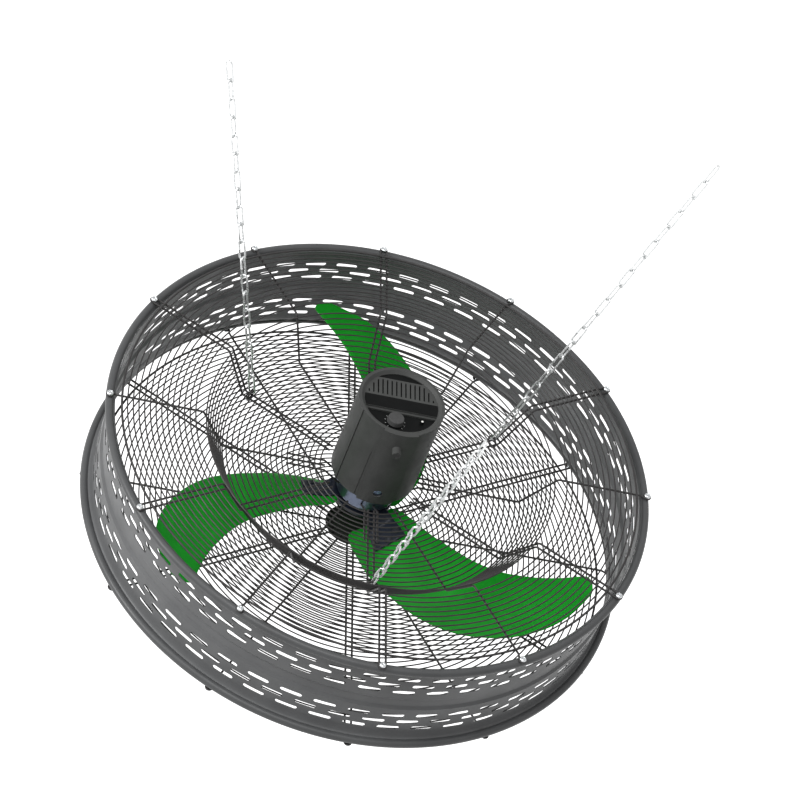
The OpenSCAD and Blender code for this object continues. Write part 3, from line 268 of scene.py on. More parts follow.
def piece(name, shape, material, body, replaced=(), sharp=40):
    """A finished piece of the fan: one mesh with its seams closed, a material, and a body to ride on."""
    points, faces = shape
    mesh = bpy.data.meshes.new(name)
    mesh.from_pydata(points.tolist(), [], faces)
    work = bmesh.new()
    work.from_mesh(mesh)
    bmesh.ops.remove_doubles(work, verts=work.verts, dist=0.002 * MM)
    bmesh.ops.recalc_face_normals(work, faces=work.faces)
    shade(work, mesh, sharp)
    fitted(mesh, material, body, replaced)


def shade(work, mesh, sharp):
    """Shades a mesh round, except over edges that bend by more than the sharp angle, and stores it."""
    for face in work.faces:
        face.smooth = True
    for edge in work.edges:
        edge.smooth = not (edge.is_manifold and edge.calc_face_angle(0) > math.radians(sharp))
    work.to_mesh(mesh)
    work.free()


def fitted(mesh, material, body, replaced):
    """An object round a mesh, on its body, in place of the CAD nodes that it dresses."""
    mesh.materials.append(material)
    made = bpy.data.objects.new(mesh.name, mesh)
    bpy.context.scene.collection.objects.link(made)
    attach(made, body)
    if replaced:
        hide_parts(*replaced)
    return made


def soften(made, width, sharp):
    """Rounds a piece's sharp edges."""
    bevel = made.modifiers.new("round_edges", "BEVEL")
    bevel.width = width
    bevel.segments = 2
    bevel.limit_method = "ANGLE"
    bevel.angle_limit = math.radians(sharp)
    bevel.harden_normals = True


# Materials


def linear(colour):
    """An sRGB hex colour as linear red, green, blue and alpha."""
    parts = [int(colour[i:i + 2], 16) / 255 for i in (1, 3, 5)]
    return [p / 12.92 if p <= 0.04045 else ((p + 0.055) / 1.055) ** 2.4 for p in parts] + [1]


def add(tree, kind, inputs=None, **settings):
    """Adds a node, with its own settings, and values or links for its inputs."""
    made = tree.nodes.new(kind)
    for name, value in settings.items():
        setattr(made, name, value)
    for key, value in (inputs or {}).items():
        if isinstance(value, bpy.types.NodeSocket):
            tree.links.new(value, made.inputs[key])
        else:
            made.inputs[key].default_value = value
    return made


# The colour inputs and the colour output of a Mix node, which shares their names with its other kinds
MIX_A, MIX_B, MIX_RESULT = 6, 7, 2


def coated(name, base, tint, patch, roughness, spread, grain, depth, metallic=0, **sockets):
    """A surface whose colour drifts between two tones over patches of one size, with roughness that
    drifts with it and a fine bump of another size. patch, grain and depth are real sizes in metres."""
    material = bpy.data.materials.new(name)
    material.use_nodes = True
    tree = material.node_tree
    tree.nodes.clear()
    place = add(tree, "ShaderNodeTexCoord").outputs["Object"]
    drift = add(tree, "ShaderNodeTexNoise",
                {"Vector": place, "Scale": 1 / patch, "Detail": 4, "Roughness": 0.6})
    fine = add(tree, "ShaderNodeTexNoise", {"Vector": place, "Scale": 1 / grain, "Detail": 2})
    tone = add(tree, "ShaderNodeMapRange", {"Value": drift.outputs[0], "From Min": 0.35, "From Max": 0.65})
    colour = add(tree, "ShaderNodeMix",
                 {"Factor": tone.outputs[0], MIX_A: linear(base), MIX_B: linear(tint)}, data_type="RGBA")
    gloss = add(tree, "ShaderNodeMapRange", {"Value": drift.outputs[0], "From Min": 0.3, "From Max": 0.7,
                                             "To Min": roughness - spread, "To Max": roughness + spread})
    bump = add(tree, "ShaderNodeBump", {"Height": fine.outputs[0], "Strength": 0.6, "Distance": depth})
    values = {"Base Color": colour.outputs[MIX_RESULT], "Roughness": gloss.outputs[0],
              "Normal": bump.outputs[0], "Metallic": metallic}
    values.update({key.replace("_", " "): value for key, value in sockets.items()})
    shader = add(tree, "ShaderNodeBsdfPrincipled", values)
    add(tree, "ShaderNodeOutputMaterial", {"Surface": shader.outputs[0]})
    return material


# Polyester powder coat on sheet steel, sprayed and baked: satin, with a soft orange peel
powder_coat = coated("powder_coated_sheet", "#656667", "#5c5d5e", patch=60 * MM, roughness=0.46, spread=0.05,
                     grain=1.2 * MM, depth=0.05 * MM, Specular_IOR_Level=0.4)
# The same coat on the rolled rim tubes, with painted shade: a darker colour stands in for the dimmer look
# that their narrow sheen gives them
rim_coat_with_painted_shade = coated("powder_coated_tube_painted_shade", "#545556", "#4c4d4e", patch=60 * MM, roughness=0.42, spread=0.05,
                  grain=1.2 * MM, depth=0.04 * MM, Specular_IOR_Level=0.4)
# The same coat on drawn wire, thinner and a little darker
coated_wire = coated("powder_coated_wire", "#3d3b3b", "#343333", patch=25 * MM, roughness=0.42, spread=0.06,
                     grain=0.8 * MM, depth=0.03 * MM, Specular_IOR_Level=0.3)
# Moulded ABS with a spark-eroded texture: matt, with a fine even grain
cover_abs = coated("textured_abs", "#4b4c4b", "#444544", patch=30 * MM, roughness=0.5, spread=0.05,
                   grain=0.5 * MM, depth=0.06 * MM, Specular_IOR_Level=0.25)
# Smooth black polycarbonate foil on the control panel and the label place
panel_foil = coated("black_polycarbonate_foil", "#141515", "#101111", patch=15 * MM, roughness=0.38,
                    spread=0.05, grain=0.3 * MM, depth=0.01 * MM, Specular_IOR_Level=0.08)
# Moulded nylon of the knob and the gland: matt and slightly lighter than the foil
knob_nylon = coated("moulded_nylon", "#4c4c4c", "#454545", patch=8 * MM, roughness=0.55, spread=0.05,
                    grain=0.4 * MM, depth=0.03 * MM, Specular_IOR_Level=0.25)
# Gloss green powder coat on the pressed blades, with a faint orange peel
blade_coat = coated("green_powder_coat", "#18a628", "#159d24", patch=70 * MM, roughness=0.42, spread=0.05,
                    grain=1.5 * MM, depth=0.05 * MM, Specular_IOR_Level=0.15)
# Dark blue-grey enamel on the blade arms and the hub
arm_enamel = coated("blue_grey_enamel", "#252c3a", "#1f2632", patch=20 * MM, roughness=0.34, spread=0.06,
                    grain=0.8 * MM, depth=0.03 * MM, Specular_IOR_Level=0.3)
# Blue passivated steel of the motor's end bell, drawn and polished, so the room shows in it
bell_steel = coated("blue_passivated_bell", "#747c90", "#6d7589", patch=60 * MM, roughness=0.32, spread=0.02,
                    grain=1.5 * MM, depth=0.002 * MM, metallic=0.85)
# Phosphated screws and rivets of the blades: dull and dark
phosphate = coated("phosphated_steel", "#3c3f45", "#33363c", patch=3 * MM, roughness=0.45, spread=0.08,
                   grain=0.4 * MM, depth=0.02 * MM, metallic=0.6)
# Bright galvanised chain wire: reflective, with a cloudy bloom
galvanised = coated("galvanised_wire", "#eceded", "#d6d8d9", patch=4 * MM, roughness=0.3, spread=0.1,
                    grain=0.5 * MM, depth=0.04 * MM, metallic=1)
# Bright zinc plate on the screws
zinc_plate = coated("zinc_plated_steel", "#e3e5e6", "#cbced0", patch=3 * MM, roughness=0.26, spread=0.08,
                    grain=0.4 * MM, depth=0.02 * MM, metallic=1)
# Blue passivated zinc on the motor's frame and upper shield
blue_zinc = coated("blue_passivated_zinc", "#9fb0c8", "#8496b0", patch=20 * MM, roughness=0.28, spread=0.06,
                   grain=0.6 * MM, depth=0.02 * MM, metallic=1)
# Ground bearing and shaft steel
ground_steel = coated("ground_steel", "#c3c5c8", "#aeb1b5", patch=5 * MM, roughness=0.25, spread=0.06,
                      grain=0.3 * MM, depth=0.01 * MM, metallic=1)
# Blued electrical sheet of the stator
lamination_steel = coated("electrical_steel", "#70757c", "#5b6068", patch=6 * MM, roughness=0.45, spread=0.06,
                          grain=0.5 * MM, depth=0.02 * MM, metallic=1)
# Cast aluminium of the rotor cage
cast_aluminium = coated("cast_aluminium", "#b9bbbd", "#a3a6a8", patch=6 * MM, roughness=0.45, spread=0.08,
                        grain=0.6 * MM, depth=0.04 * MM, metallic=1)
# Enamelled copper of the windings, bound into bundles
copper_enamel = coated("enamelled_copper", "#b5602f", "#8f4522", patch=3 * MM, roughness=0.35, spread=0.08,
                       grain=0.7 * MM, depth=0.2 * MM, metallic=0.6)
# Glass-epoxy circuit board under solder mask
solder_mask = coated("solder_mask", "#1d5a34", "#184d2c", patch=5 * MM, roughness=0.4, spread=0.05,
                     grain=0.4 * MM, depth=0.01 * MM)
# Moulded polypropylene of the capacitor and the board's components
component_case = coated("moulded_case", "#6f7276", "#5f6266", patch=6 * MM, roughness=0.45, spread=0.05,
                        grain=0.4 * MM, depth=0.02 * MM)
# Milky diffuser of the indicator lamp
lamp_lens = coated("milky_lens", "#f4f4ee", "#ecece4", patch=4 * MM, roughness=0.25, spread=0.04,
                   grain=0.4 * MM, depth=0.005 * MM)
# White screen print on the control panel
white_print = coated("white_screen_print", "#d8d9d8", "#cccdcc", patch=2 * MM, roughness=0.5, spread=0.05,
                     grain=0.2 * MM, depth=0.005 * MM)

CAD_FINISH = {
    powder_coat: ["drum_shell"],
    coated_wire: ["motor_bracket_rods", "outlet_guard_disc", "chain_eyes"],
    cover_abs: ["gland_nut", "cord_gland"],
    panel_foil: ["label_plate", "control_panel"],
    zinc_plate: ["knob_nut", "tie_bolts", "tie_nuts", "cover_screws", "hub_nut", "bearing_balls"],
    phosphate: ["blade_rivets", "hub_bolts"],
    bell_steel: ["mounting_flange"],
    blue_zinc: ["motor_frame", "upper_end_shield"],
    ground_steel: ["knob_shaft", "potentiometer", "cover_pillars", "motor_shaft", "bearing_outer_rings",
                   "bearing_inner_rings", "hub_set_screw"],
    lamination_steel: ["stator_core"],
    cast_aluminium: ["rotor_core"],
    copper_enamel: ["stator_windings"],
    solder_mask: ["control_board"],
    component_case: ["board_components", "run_capacitor"],
    arm_enamel: ["hub"],
}


def dress_cad():
    """Gives the CAD nodes that stay in view their finishes."""
    for material, names in CAD_FINISH.items():
        for name in names:
            for place in NODES[name].material_slots:
                place.material = material


# Guards


def ring_set(name, radii_and_heights, edge=None):
    """A set of guard rings as one piece, with the thicker edge ring where there is one."""
    shapes = [hoop(r, z, RING_WIRE) for r, z in radii_and_heights]
    if edge:
        shapes.append(hoop(*edge, EDGE_WIRE, sides=10))
    piece(name + "_wires", joined(shapes), coated_wire, "housing", (name,))


def guard_rings():
    """Rings on the flat, down the step and on the inner flat, then those of the outlet guard."""
    lift = (WIRE + RING_WIRE) / 2 + SEAT
    edge_lift = (WIRE + EDGE_WIRE) / 2 + SEAT
    flat = [(EDGE_RING_R - i * RING_PITCH, GUARD_Z + lift) for i in range(1, OUTER_RINGS)]
    ring_set("inlet_guard_outer_rings", flat, (EDGE_RING_R, GUARD_Z + edge_lift))
    run = STEP_TOP_R - STEP_FOOT_R
    slope = math.hypot(run, DIP)
    places = [(slope - (STEP_RINGS - 1) * RING_PITCH) / 2 + i * RING_PITCH for i in range(STEP_RINGS)]
    step = [(STEP_TOP_R - (p * run + lift * DIP) / slope, GUARD_Z + (lift * run - p * DIP) / slope)
            for p in places]
    ring_set("inlet_guard_step_rings", step)
    inner = [(EYE_R + RING_PITCH / 2 - i * RING_PITCH, DIP_Z + lift) for i in range(INNER_RINGS)]
    ring_set("inlet_guard_inner_rings", inner)
    outlet = [(EDGE_RING_R - i * RING_PITCH, OUTLET_WIRE_Z - lift) for i in range(1, OUTLET_RINGS)]
    third = OUTLET_RINGS // 3
    ring_set("outlet_guard_outer_rings", outlet[:third - 1], (EDGE_RING_R, OUTLET_WIRE_Z - edge_lift))
    ring_set("outlet_guard_middle_rings", outlet[third - 1:2 * third - 1])
    ring_set("outlet_guard_inner_rings", outlet[2 * third - 1:])


def arc(centre, radius, from_degrees, to_degrees, steps):
    """Points on a circle in the plane of the guard: centre + radius (cos a, sin a)."""
    a = np.radians(np.linspace(from_degrees, to_degrees, steps + 1))
    x, y, z = centre
    return np.stack([x + radius * np.cos(a), y + radius * np.sin(a), np.full(steps + 1, z)], 1)


def wire_inwards(y, z):
    """A radial wire's path from the screw circle in towards the motor: level, round a bend, down the
    step, round the opposite bend, and level again. Each bend is an arc that meets both straights."""
    lean = math.atan2(DIP, STEP_TOP_R - STEP_FOOT_R)
    trim = WIRE_BEND * math.tan(lean / 2)
    a = np.linspace(0, lean, 7)
    reach, fall, level = WIRE_BEND * np.sin(a), WIRE_BEND * (1 - np.cos(a)), np.full(len(a), y)
    top = np.stack([STEP_TOP_R + trim - reach, level, z - fall], 1)
    foot = np.stack([STEP_FOOT_R - trim + reach, level, z - DIP + fall], 1)[::-1]
    end = np.array([[WIRE_FOOT_R, y, z - DIP]])
    return np.concatenate([top, foot, end])


def guard_wires():
    """Radial wires: pairs in one piece bent round their screw, and singles with a hooked end."""
    for name, z, inlet in (("inlet_guard", GUARD_Z, True), ("outlet_guard", OUTLET_WIRE_Z, False)):
        centre = (SCREW_CIRCLE, 0, z)
        loop = arc(centre, PAIR_HALF, -90, 90, 14)
        lead = [[SCREW_CIRCLE - HOOK_LEAD_SHARE * PAIR_HALF, 0, z]]
        hook = np.concatenate([lead, arc(centre, PAIR_HALF, -135, 160, 18)])
        ends = {y: wire_inwards(y, z) if inlet else np.array([[DISC_R * DISC_REACH_SHARE, y, z]])
                for y in (-PAIR_HALF, 0, PAIR_HALF)}
        pair = np.concatenate([ends[-PAIR_HALF][::-1], loop, ends[PAIR_HALF]])
        single = np.concatenate([ends[0][::-1], hook])
        for kind, path, phase in (("double", pair, 30), ("single", single, 0)):
            node = f"{name}_{kind}_wires"
            shape = around(swept(path, WIRE, 12), RADIALS // 2, phase)
            piece(f"{name}_{kind}_radials", shape, coated_wire, "housing", (node,), sharp=50)


def rims():
    """The two rolled rim tubes, each a hoop of round tube."""
    for name, radius, z in (("inlet_rim", INLET_RIM_R, INLET_RIM_Z),
                            ("outlet_rim", OUTLET_RIM_R, OUTLET_RIM_Z)):
        shape = hoop(radius, z, RIM_TUBE, steps=256, sides=28)
        # The tubes take the coat with painted shade, darker than the drum's
        piece(name + "_tube", shape, rim_coat_with_painted_shade, "housing", (name,))


def screw(turn):
    """A pan head with a cross recess. The head's height over its brim falls as the square root of
    1 - (r / R)^3, less the depth of two crossed slots that deepen towards the centre. Below it, a profile
    for the shank is turned about the axis."""
    steps, head_r, head_h, brim_h = 48, 4 * MM, 2.5 * MM, 0.5 * MM
    shank_r, shank_l, point = 2 * MM, 9 * MM, 0.4 * MM
    slot_half, slot_reach, slot_edge = 0.45 * MM, 2.3 * MM, 0.25 * MM
    slot_depth, slot_taper, rim_share = 1.3 * MM, 1.6 * MM, 0.35
    radius = np.array([0.02, 0.2, 0.35, 0.5, 0.62, 0.75, 1.0, 1.5, 2.0, 2.35, 2.7, 3.2, 3.6, 3.85, 4.0]) * MM
    angle = TURN * np.arange(steps) / steps
    x, y = radius[:, None] * np.cos(angle), radius[:, None] * np.sin(angle)
    dome = brim_h + (head_h - brim_h) * np.power(1 - (radius / head_r) ** 3, 0.5)[:, None]
    u, v = np.abs(x), np.abs(y)
    arm = np.maximum(smooth((slot_half - v) / slot_edge + 0.5) * (u < slot_reach),
                     smooth((slot_half - u) / slot_edge + 0.5) * (v < slot_reach))
    fall = smooth((slot_reach - np.maximum(u, v)) / slot_taper)
    top = np.stack([x, y, dome - slot_depth * arm * (rim_share + (1 - rim_share) * fall)], -1)
    lower = np.array([(head_r, 0.35 * MM), (head_r - 0.1 * MM, 0), (shank_r, 0), (shank_r, point - shank_l),
                      (shank_r - point, -shank_l)])
    rest = np.stack([lower[:, :1] * np.cos(angle), lower[:, :1] * np.sin(angle),
                     lower[:, 1:] * np.ones(steps)], -1)
    return spun(grid(np.concatenate([top, rest]), wrap_columns=True, caps=True), turn)


def screws():
    """Twelve screws through each guard, each head at its own turn."""
    turn_step, outlet_turn = 37, 11
    for name, z, up in (("inlet_guard_screws", GUARD_Z + WIRE / 2 + SEAT, 1),
                        ("outlet_guard_screws", OUTLET_WIRE_Z - WIRE / 2 - SEAT, -1)):
        shapes = []
        for i in range(RADIALS):
            points, faces = screw(turn_step * i + outlet_turn * (up < 0))
            points = points * np.array([1, 1, up])
            shapes.append(spun((points + np.array([SCREW_CIRCLE, 0, z]), faces), 360 * i / RADIALS))
        piece(name + "_heads", joined(shapes), zinc_plate, "housing", (name,), sharp=35)


# Chains


def link():
    """A long link of round wire: two straights and two ends that follow |x/a|^n + |z/b|^n = 1 with n a
    little over 2, so they look slightly square. The wire swells at the weld in one side."""
    half = (LINK_W - LINK_WIRE) / 2
    side = LINK_INNER / 2 + LINK_WIRE / 2 - half
    squareness, weld_reach, weld_spread, weld_swell = 2.5, 2.4 * MM, 1 * MM, 0.16
    power = 2 / squareness
    a = np.radians(np.linspace(0, 180, 15))
    end_x = half * np.sign(np.cos(a)) * np.abs(np.cos(a)) ** power
    end_z = side + half * np.abs(np.sin(a)) ** power
    weld = np.linspace(-1, 1, 7)[1:-1] * weld_reach
    x = np.concatenate([end_x, np.full(3, -half), -end_x, np.full(len(weld), half)])
    z = np.concatenate([end_z, np.array([0.5, 0, -0.5]) * side, -end_z, weld])
    path = np.stack([x, x * 0, z], 1)
    swell = np.ones(len(path))
    swell[-len(weld):] = 1 + weld_swell * np.exp(-(weld / weld_spread) ** 2)
    return swept(path, LINK_WIRE * swell, 12, closed=True, up=(0, 1, 0))


def chains():
    """Three chains, each a row of links that lie a quarter turn apart along a line that leans outwards."""
    pitch = LINK_INNER - SEAT
    first = LINK_INNER / 2 - LINK_WIRE / 2 - SEAT
    lean = np.array(Matrix.Rotation(LEAN, 3, "Y"))
    one_link = link()
    row = [moved(spun(one_link, 90 * (i % 2)), (0, 0, first + i * pitch)) for i in range(LINKS)]
    line_points, line_faces = joined(row)
    for number in (1, 2, 3):
        foot = Vector(JOINTS[f"chain_{number}_swing"]["pos_m"])
        azimuth = math.degrees(math.atan2(foot.y, foot.x))
        placed = turned(line_points @ lean.T, azimuth) + np.array(foot)
        piece(f"hanging_chain_{number}_links", (placed, line_faces), galvanised,
              f"hanging_chain_{number}", (f"chain_{number}", f"chain_{number}_top_link"))


# Motor cover


def cover():
    """The moulded cover: its solid's triangles are merged into whole faces, and every edge is rounded."""
    mesh = NODES["motor_cover"].data.copy()
    mesh.name = "motor_cover_moulding"
    mesh.materials.clear()
    work = bmesh.new()
    work.from_mesh(mesh)
    bmesh.ops.remove_doubles(work, verts=work.verts, dist=0.01 * MM)
    bmesh.ops.dissolve_limit(work, angle_limit=math.radians(0.5), verts=work.verts, edges=work.edges)
    sharp = 25
    shade(work, mesh, sharp)
    soften(fitted(mesh, cover_abs, "housing", ("motor_cover",)), 0.5 * MM, sharp)


def knob():
    """The speed knob, turned about its own axis. Its side ripples as cos(24 a) for grip, its top is flat
    with a round edge, and a short notch at the edge points to the set speed."""
    low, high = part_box("speed_knob")
    centre, tall = (*plan_centre("speed_knob"), low.z), high.z - low.z
    steps, grips, grip_depth = 144, 24, 0.16 * MM
    notch_half, notch_start, notch_depth = 0.6 * MM, 7 * MM, 0.5 * MM
    profile = np.array([(0.05, -0.06), (2.0, -0.05), (4.0, -0.04), (6.0, -0.02), (7.0, 0), (7.6, 0), (8.1, 0),
                        (8.5, 0), (8.8, -0.03), (9.0, -0.12), (9.2, -0.35), (9.4, -0.9), (9.55, -1.8),
                        (9.75, -3.0), (9.95, -4.2), (10.1, -5.2), (10.2, -5.6), (10.2, -6.3), (10.0, -6.6),
                        (6.6, -6.6)]) * MM
    angle = TURN * np.arange(steps) / steps
    drop = profile[:, 1:]
    side = smooth((drop + 5.4 * MM) / (0.4 * MM)) * smooth((-0.3 * MM - drop) / (0.8 * MM))
    radius = profile[:, :1] - grip_depth * side * (0.5 + 0.5 * np.cos(grips * angle)) ** 2
    x, y = radius * np.cos(angle), radius * np.sin(angle)
    z = tall + drop * np.ones(steps)
    notch = smooth((notch_half - np.abs(x)) / (0.4 * MM)) * smooth((-notch_start - y) / (1 * MM))
    z = z - notch_depth * notch * (z > tall - 1.2 * MM)
    shape = grid(np.stack([x, y, z], -1), wrap_columns=True, caps=True)
    piece("speed_knob_moulding", moved(shape, centre), knob_nylon, "knob", ("speed_knob",),
          sharp=60)


def dial():
    """Eleven printed ticks round the knob over its 270 degrees."""
    ticks, sweep, start = 11, 270, -45
    near, far, half_w, ink_t = 11.3 * MM, 12.6 * MM, 0.26 * MM, 0.06 * MM
    centre = (*plan_centre("speed_knob"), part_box("control_panel")[1].z)
    tick = block((near, -half_w, 0), (far, half_w, ink_t))
    ring = joined([spun(tick, start + sweep / (ticks - 1) * i) for i in range(ticks)])
    piece("control_panel_ticks", moved(ring, centre), white_print, "housing")


def indicator_lamp():
    """A black bezel with a dished middle, and a small domed lens in it. The dome's height falls as the
    square of the radius."""
    low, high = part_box("indicator_lamp")
    centre = (*plan_centre("indicator_lamp"), high.z)
    outer, deep = (high.x - low.x) / 2, low.z - high.z
    lens_r, dish, dome_h, sunk = 1.5 * MM, 0.5 * MM, 0.55 * MM, 0.1 * MM
    bezel = [(POLE_R, -dish), (lens_r + SEAT, -dish), (lens_r + 0.15 * MM, -0.05 * MM),
             (lens_r + 0.3 * MM, 0), (outer - 0.4 * MM, 0), (outer - 0.1 * MM, -0.1 * MM),
             (outer, -0.4 * MM), (outer, deep), (POLE_R, deep)]
    piece("indicator_lamp_bezel", lathe(bezel, 48, centre), panel_foil, "housing",
          ("indicator_lamp",))
    radius = np.array([0.05, 0.4, 0.75, 1.05, 1.3, 1.45]) * MM
    dome = [(r, dome_h * (1 - (r / lens_r) ** 2) - sunk) for r in radius]
    foot = [(lens_r - SEAT, -2 * sunk), (lens_r - SEAT, SEAT - dish), (POLE_R, SEAT - dish)]
    piece("indicator_lamp_lens", lathe(dome + foot, 48, centre), lamp_lens, "housing")


def crescent_plate():
    """A black foil on the floor of the sunk crescent at the end face's far edge: it lies between a
    straight edge and the circle x^2 + y^2 = r^2."""
    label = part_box("label_plate")
    face_z, face_r = label[0].z - SEAT, label[1].x + 0.8 * MM
    near, floor_drop, foil_t, lift = 35.3 * MM, 1.4 * MM, 0.3 * MM, 0.25 * MM
    radius, reach_share = face_r - 0.7 * MM, 0.996
    y = np.linspace(near, radius * reach_share, 16)[:, None] * np.ones(33)
    x = np.sqrt(radius ** 2 - y ** 2) * np.linspace(-1, 1, 33)
    z = np.full_like(x, face_z - floor_drop + lift)
    piece("crescent_foil", plate(np.stack([x, y, z], -1), foil_t), panel_foil, "housing")


def access_plug():
    """A flat steel plug behind the access hole in the cover's side: a short turned disc, set back."""
    radius, z = ACCESS_D / 2 - 0.2 * MM, COVER_Z + ACCESS_H
    back, front = 46.3 * MM, 53.4 * MM
    profile = [(POLE_R, front), (radius - 0.6 * MM, front), (radius, front - 0.5 * MM), (radius, back),
               (POLE_R, back)]
    shape = moved(lying(lathe(profile, 48)), (0, 0, z))
    piece("access_plug_face", shape, blue_zinc, "housing")


def gland_membrane():
    """A thin rubber disc that closes the gland. It bulges by 1 - (r / R)^2 of its bulge, and a cross slit
    is sunk in its middle."""
    low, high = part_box("cord_gland")
    inset, rubber_t, bulge_h, slit_depth = 0.5 * MM, 0.9 * MM, 0.35 * MM, 0.4 * MM
    slit_half, slit_edge, slit_reach = 0.22 * MM, 0.2 * MM, 2.5 * MM
    centre = (plan_centre("cord_gland")[0], low.y + inset, (low.z + high.z) / 2)
    radius = np.array([0.05, 0.4, 0.8, 1.2, 1.6, 2.0, 2.4, 2.8, 3.2, 3.5]) * MM
    angle = TURN * np.arange(64) / 64
    x, y = radius[:, None] * np.cos(angle), radius[:, None] * np.sin(angle)
    off_cross = np.minimum(np.abs(x), np.abs(y))
    slit = smooth((slit_half - off_cross) / slit_edge) * (np.hypot(x, y) < slit_reach)
    bulge = bulge_h * (1 - (radius / radius[-1]) ** 2)[:, None] - slit_depth * slit
    front = np.stack([x, y, bulge], -1)
    back = np.stack([x, y, np.full_like(x, -rubber_t)], -1)[::-1]
    disc = grid(np.concatenate([front, back]), wrap_columns=True, caps=True)
    piece("cord_gland_membrane", moved(lying(disc), centre), knob_nylon, "housing",
          sharp=60)


# Blades

# The outline, listed as in the part's source: share of the tip radius, leading and trailing
# azimuth in degrees, and leading and trailing drop as shares of the blade's depth
BLADE_OUTLINE_SHARES = np.array([
    [0.127, 60.0, -2.0, 0.290, 0.880],
    [0.138, 64.5, -10.0, 0.285, 0.910],
    [0.166, 66.0, -12.0, 0.270, 0.930],
    [0.221, 63.0, -3.0, 0.241, 0.965],
    [0.276, 60.0, 3.5, 0.235, 0.985],
    [0.331, 59.0, 8.5, 0.230, 1.000],
    [0.387, 59.0, 13.5, 0.226, 0.990],
    [0.442, 59.0, 18.0, 0.222, 0.975],
    [0.497, 59.2, 21.5, 0.218, 0.955],
    [0.552, 60.0, 25.0, 0.214, 0.931],
    [0.608, 61.3, 28.5, 0.210, 0.890],
    [0.663, 63.0, 32.3, 0.207, 0.845],
    [0.718, 65.0, 36.4, 0.180, 0.793],
    [0.773, 66.9, 41.0, 0.145, 0.710],
    [0.829, 69.0, 45.7, 0.107, 0.620],
    [0.884, 71.2, 51.0, 0.069, 0.483],
    [0.928, 72.9, 55.8, 0.030, 0.350],
    [0.961, 73.8, 60.5, 0.012, 0.230],
    [0.983, 73.0, 65.5, 0.004, 0.130],
    [0.994, 71.5, 68.0, 0.010, 0.070],
    [1.000, 70.4, 69.2, 0.025, 0.050]])


def through(rows, per_row):
    """A smooth curve through rows of numbers: between two rows, the cubic whose slope at each is half the
    difference of its neighbours."""
    rows = np.asarray(rows, float)
    padded = np.concatenate([2 * rows[:1] - rows[1:2], rows, 2 * rows[-1:] - rows[-2:-1]])
    t = np.linspace(0, 1, per_row, endpoint=False)[:, None]
    parts = []
    for i in range(1, len(padded) - 2):
        before, here, there, after = padded[i - 1:i + 3]
        parts.append(here + 0.5 * t * (there - before + t * (2 * before - 5 * here + 4 * there - after
                     + t * (3 * (here - there) + after - before))))
    return np.concatenate(parts + [rows[-1:]])


def cambered(lead_drop, trail_drop, s):
    """Height of a blade's top face at a share s of the way from the leading to the trailing edge: it
    falls from the leading drop to the trailing drop as s to the camber's power."""
    return BLADE_TOP_Z - BLADE_DEPTH * (lead_drop + (trail_drop - lead_drop) * s ** CAMBER_POWER)


def blades():
    """Three pressed blades. Each row of the middle surface is an arc about the axis from the leading to
    the trailing edge, and its height is the camber law's. The middle surface ends half a thickness inside
    the outline, or less where the blade is narrow, because the plate's round edge takes up the rest."""
    rows = through(BLADE_OUTLINE_SHARES, 4)
    share, lead, trail, lead_drop, trail_drop = rows.T
    s = np.linspace(0, 1, 33)[None]
    most_share = 0.3
    inset = np.minimum(np.degrees(BLADE_T / 2 / (share * BLADE_TIP_R)), (lead - trail) * most_share)
    lead, trail = lead - inset, trail + inset
    angle = np.radians(lead[:, None] + s * (trail - lead)[:, None])
    radius = share[:, None] * (BLADE_TIP_R - BLADE_T / 2)
    z = cambered(lead_drop[:, None], trail_drop[:, None], s) - BLADE_T / 2
    blade = plate(np.stack([radius * np.cos(angle), radius * np.sin(angle), z], -1), BLADE_T)
    for i in range(BLADES):
        piece(f"pressed_blade_{i + 1}", spun(blade, BLADE_PHASE + 360 / BLADES * i), blade_coat,
              "impeller", (f"blade_{i + 1}",), sharp=50)


def arms():
    """Three pressed arms that widen outwards: flat on the hub, then eased down with 3t^2 - 2t^3 onto the
    cambered face of the blade that each one carries."""
    gap, ease_start, ease_l = 0.3 * MM, 37 * MM, 13 * MM
    u = np.linspace(ARM_ROOT_R + ARM_T / 2, ARM_TIP_R - ARM_T / 2, 40)[:, None]
    w = np.linspace(-1, 1, 17)[None]
    widen = smooth((u - ARM_ROOT_R) / (ARM_TIP_R - ARM_ROOT_R))
    half = (ARM_ROOT_W + (ARM_TIP_W - ARM_ROOT_W) * widen) / 2 - ARM_T / 2
    turn = math.radians(ARM_TURN)
    x = u * math.cos(turn) - w * half * math.sin(turn)
    y = u * math.sin(turn) + w * half * math.cos(turn)
    share = np.hypot(x, y) / BLADE_TIP_R
    shares, *columns = BLADE_OUTLINE_SHARES.T
    lead, trail, lead_drop, trail_drop = [np.interp(share, shares, column) for column in columns]
    s = np.clip((np.degrees(np.arctan2(y, x)) - lead) / (trail - lead), 0, 1)
    on_blade = cambered(lead_drop, trail_drop, s) + gap
    ease = smooth((u - ease_start) / ease_l)
    z = HUB_TOP_Z * (1 - ease) + on_blade * ease + ARM_T / 2
    shape = around(plate(np.stack([x, y, z], -1), ARM_T), BLADES, BLADE_PHASE)
    piece("pressed_blade_arms", shape, arm_enamel, "impeller", ("blade_arms",), sharp=50)


# Stage


def seen_past(tree):
    """1 for rays that look past the fan, straight, in a reflection or through glass, and 0 for light."""
    path = add(tree, "ShaderNodeLightPath")
    seen = path.outputs["Is Camera Ray"]
    for kind in ("Is Glossy Ray", "Is Transmission Ray"):
        seen = add(tree, "ShaderNodeMath", {0: seen, 1: path.outputs[kind]}, operation="MAXIMUM").outputs[0]
    return seen


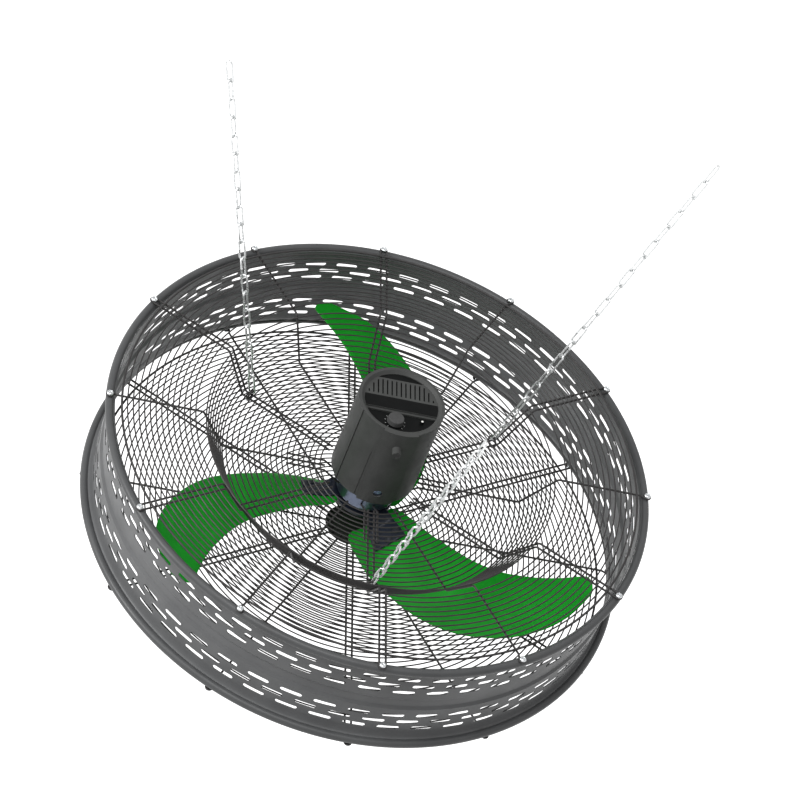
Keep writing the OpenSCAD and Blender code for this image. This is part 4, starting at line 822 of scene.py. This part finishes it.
def stage():
    """A pale floor far below the hanging fan, and a white surround for everything that looks past it."""
    bpy.ops.mesh.primitive_plane_add(size=FLOOR_SIZE, location=(0, 0, FLOOR_Z))
    floor = bpy.context.object
    floor.name = "floor"
    material = bpy.data.materials.new("pale_floor")
    material.use_nodes = True
    tree = material.node_tree
    tree.nodes.clear()
    pale = add(tree, "ShaderNodeBsdfDiffuse", {"Color": linear("#e6e6e6")})
    white = add(tree, "ShaderNodeEmission", {"Strength": seen_past(tree)})
    both = add(tree, "ShaderNodeAddShader", {0: pale.outputs[0], 1: white.outputs[0]})
    add(tree, "ShaderNodeOutputMaterial", {"Surface": both.outputs[0]})
    floor.data.materials.append(material)
    world = bpy.data.worlds.new("white_studio")
    bpy.context.scene.world = world
    world.use_nodes = True
    tree = world.node_tree
    tree.nodes.clear()
    strength = add(tree, "ShaderNodeMapRange", {"Value": seen_past(tree), "To Min": 0.4, "To Max": 1})
    light = add(tree, "ShaderNodeBackground", {"Strength": strength.outputs[0]})
    add(tree, "ShaderNodeOutputWorld", {"Surface": light.outputs[0]})


def lamp(name, place, size, power):
    """A soft square lamp that faces the fan."""
    data = bpy.data.lights.new(name, "AREA")
    data.size = size
    data.energy = power
    made = bpy.data.objects.new(name, data)
    bpy.context.scene.collection.objects.link(made)
    made.location = place
    made.rotation_euler = (FAN_MIDDLE - Vector(place)).to_track_quat("-Z", "Y").to_euler()


def camera():
    """The camera stands where the photograph's did. It is the scene's camera."""
    data = bpy.data.cameras.new("portrait_camera")
    data.sensor_width = CAMERA_SENSOR
    data.lens = CAMERA_LENS
    data.clip_end = 100
    made = bpy.data.objects.new("portrait_camera", data)
    bpy.context.scene.collection.objects.link(made)
    made.location = CAMERA_PLACE
    made.rotation_euler = [math.radians(a) for a in CAMERA_TURN]
    bpy.context.scene.camera = made


camera()
dress_cad()
guard_rings()
guard_wires()
rims()
screws()
chains()
cover()
knob()
dial()
indicator_lamp()
crescent_plate()
access_plug()
gland_membrane()
blades()
arms()
stage()
lamp("key_lamp", (-3.7, -0.3, 1.5), 1.6, 110)
lamp("top_lamp", (-0.8, -1.2, 3.4), 2.0, 70)
bpy.context.scene.view_settings.view_transform = "Standard"
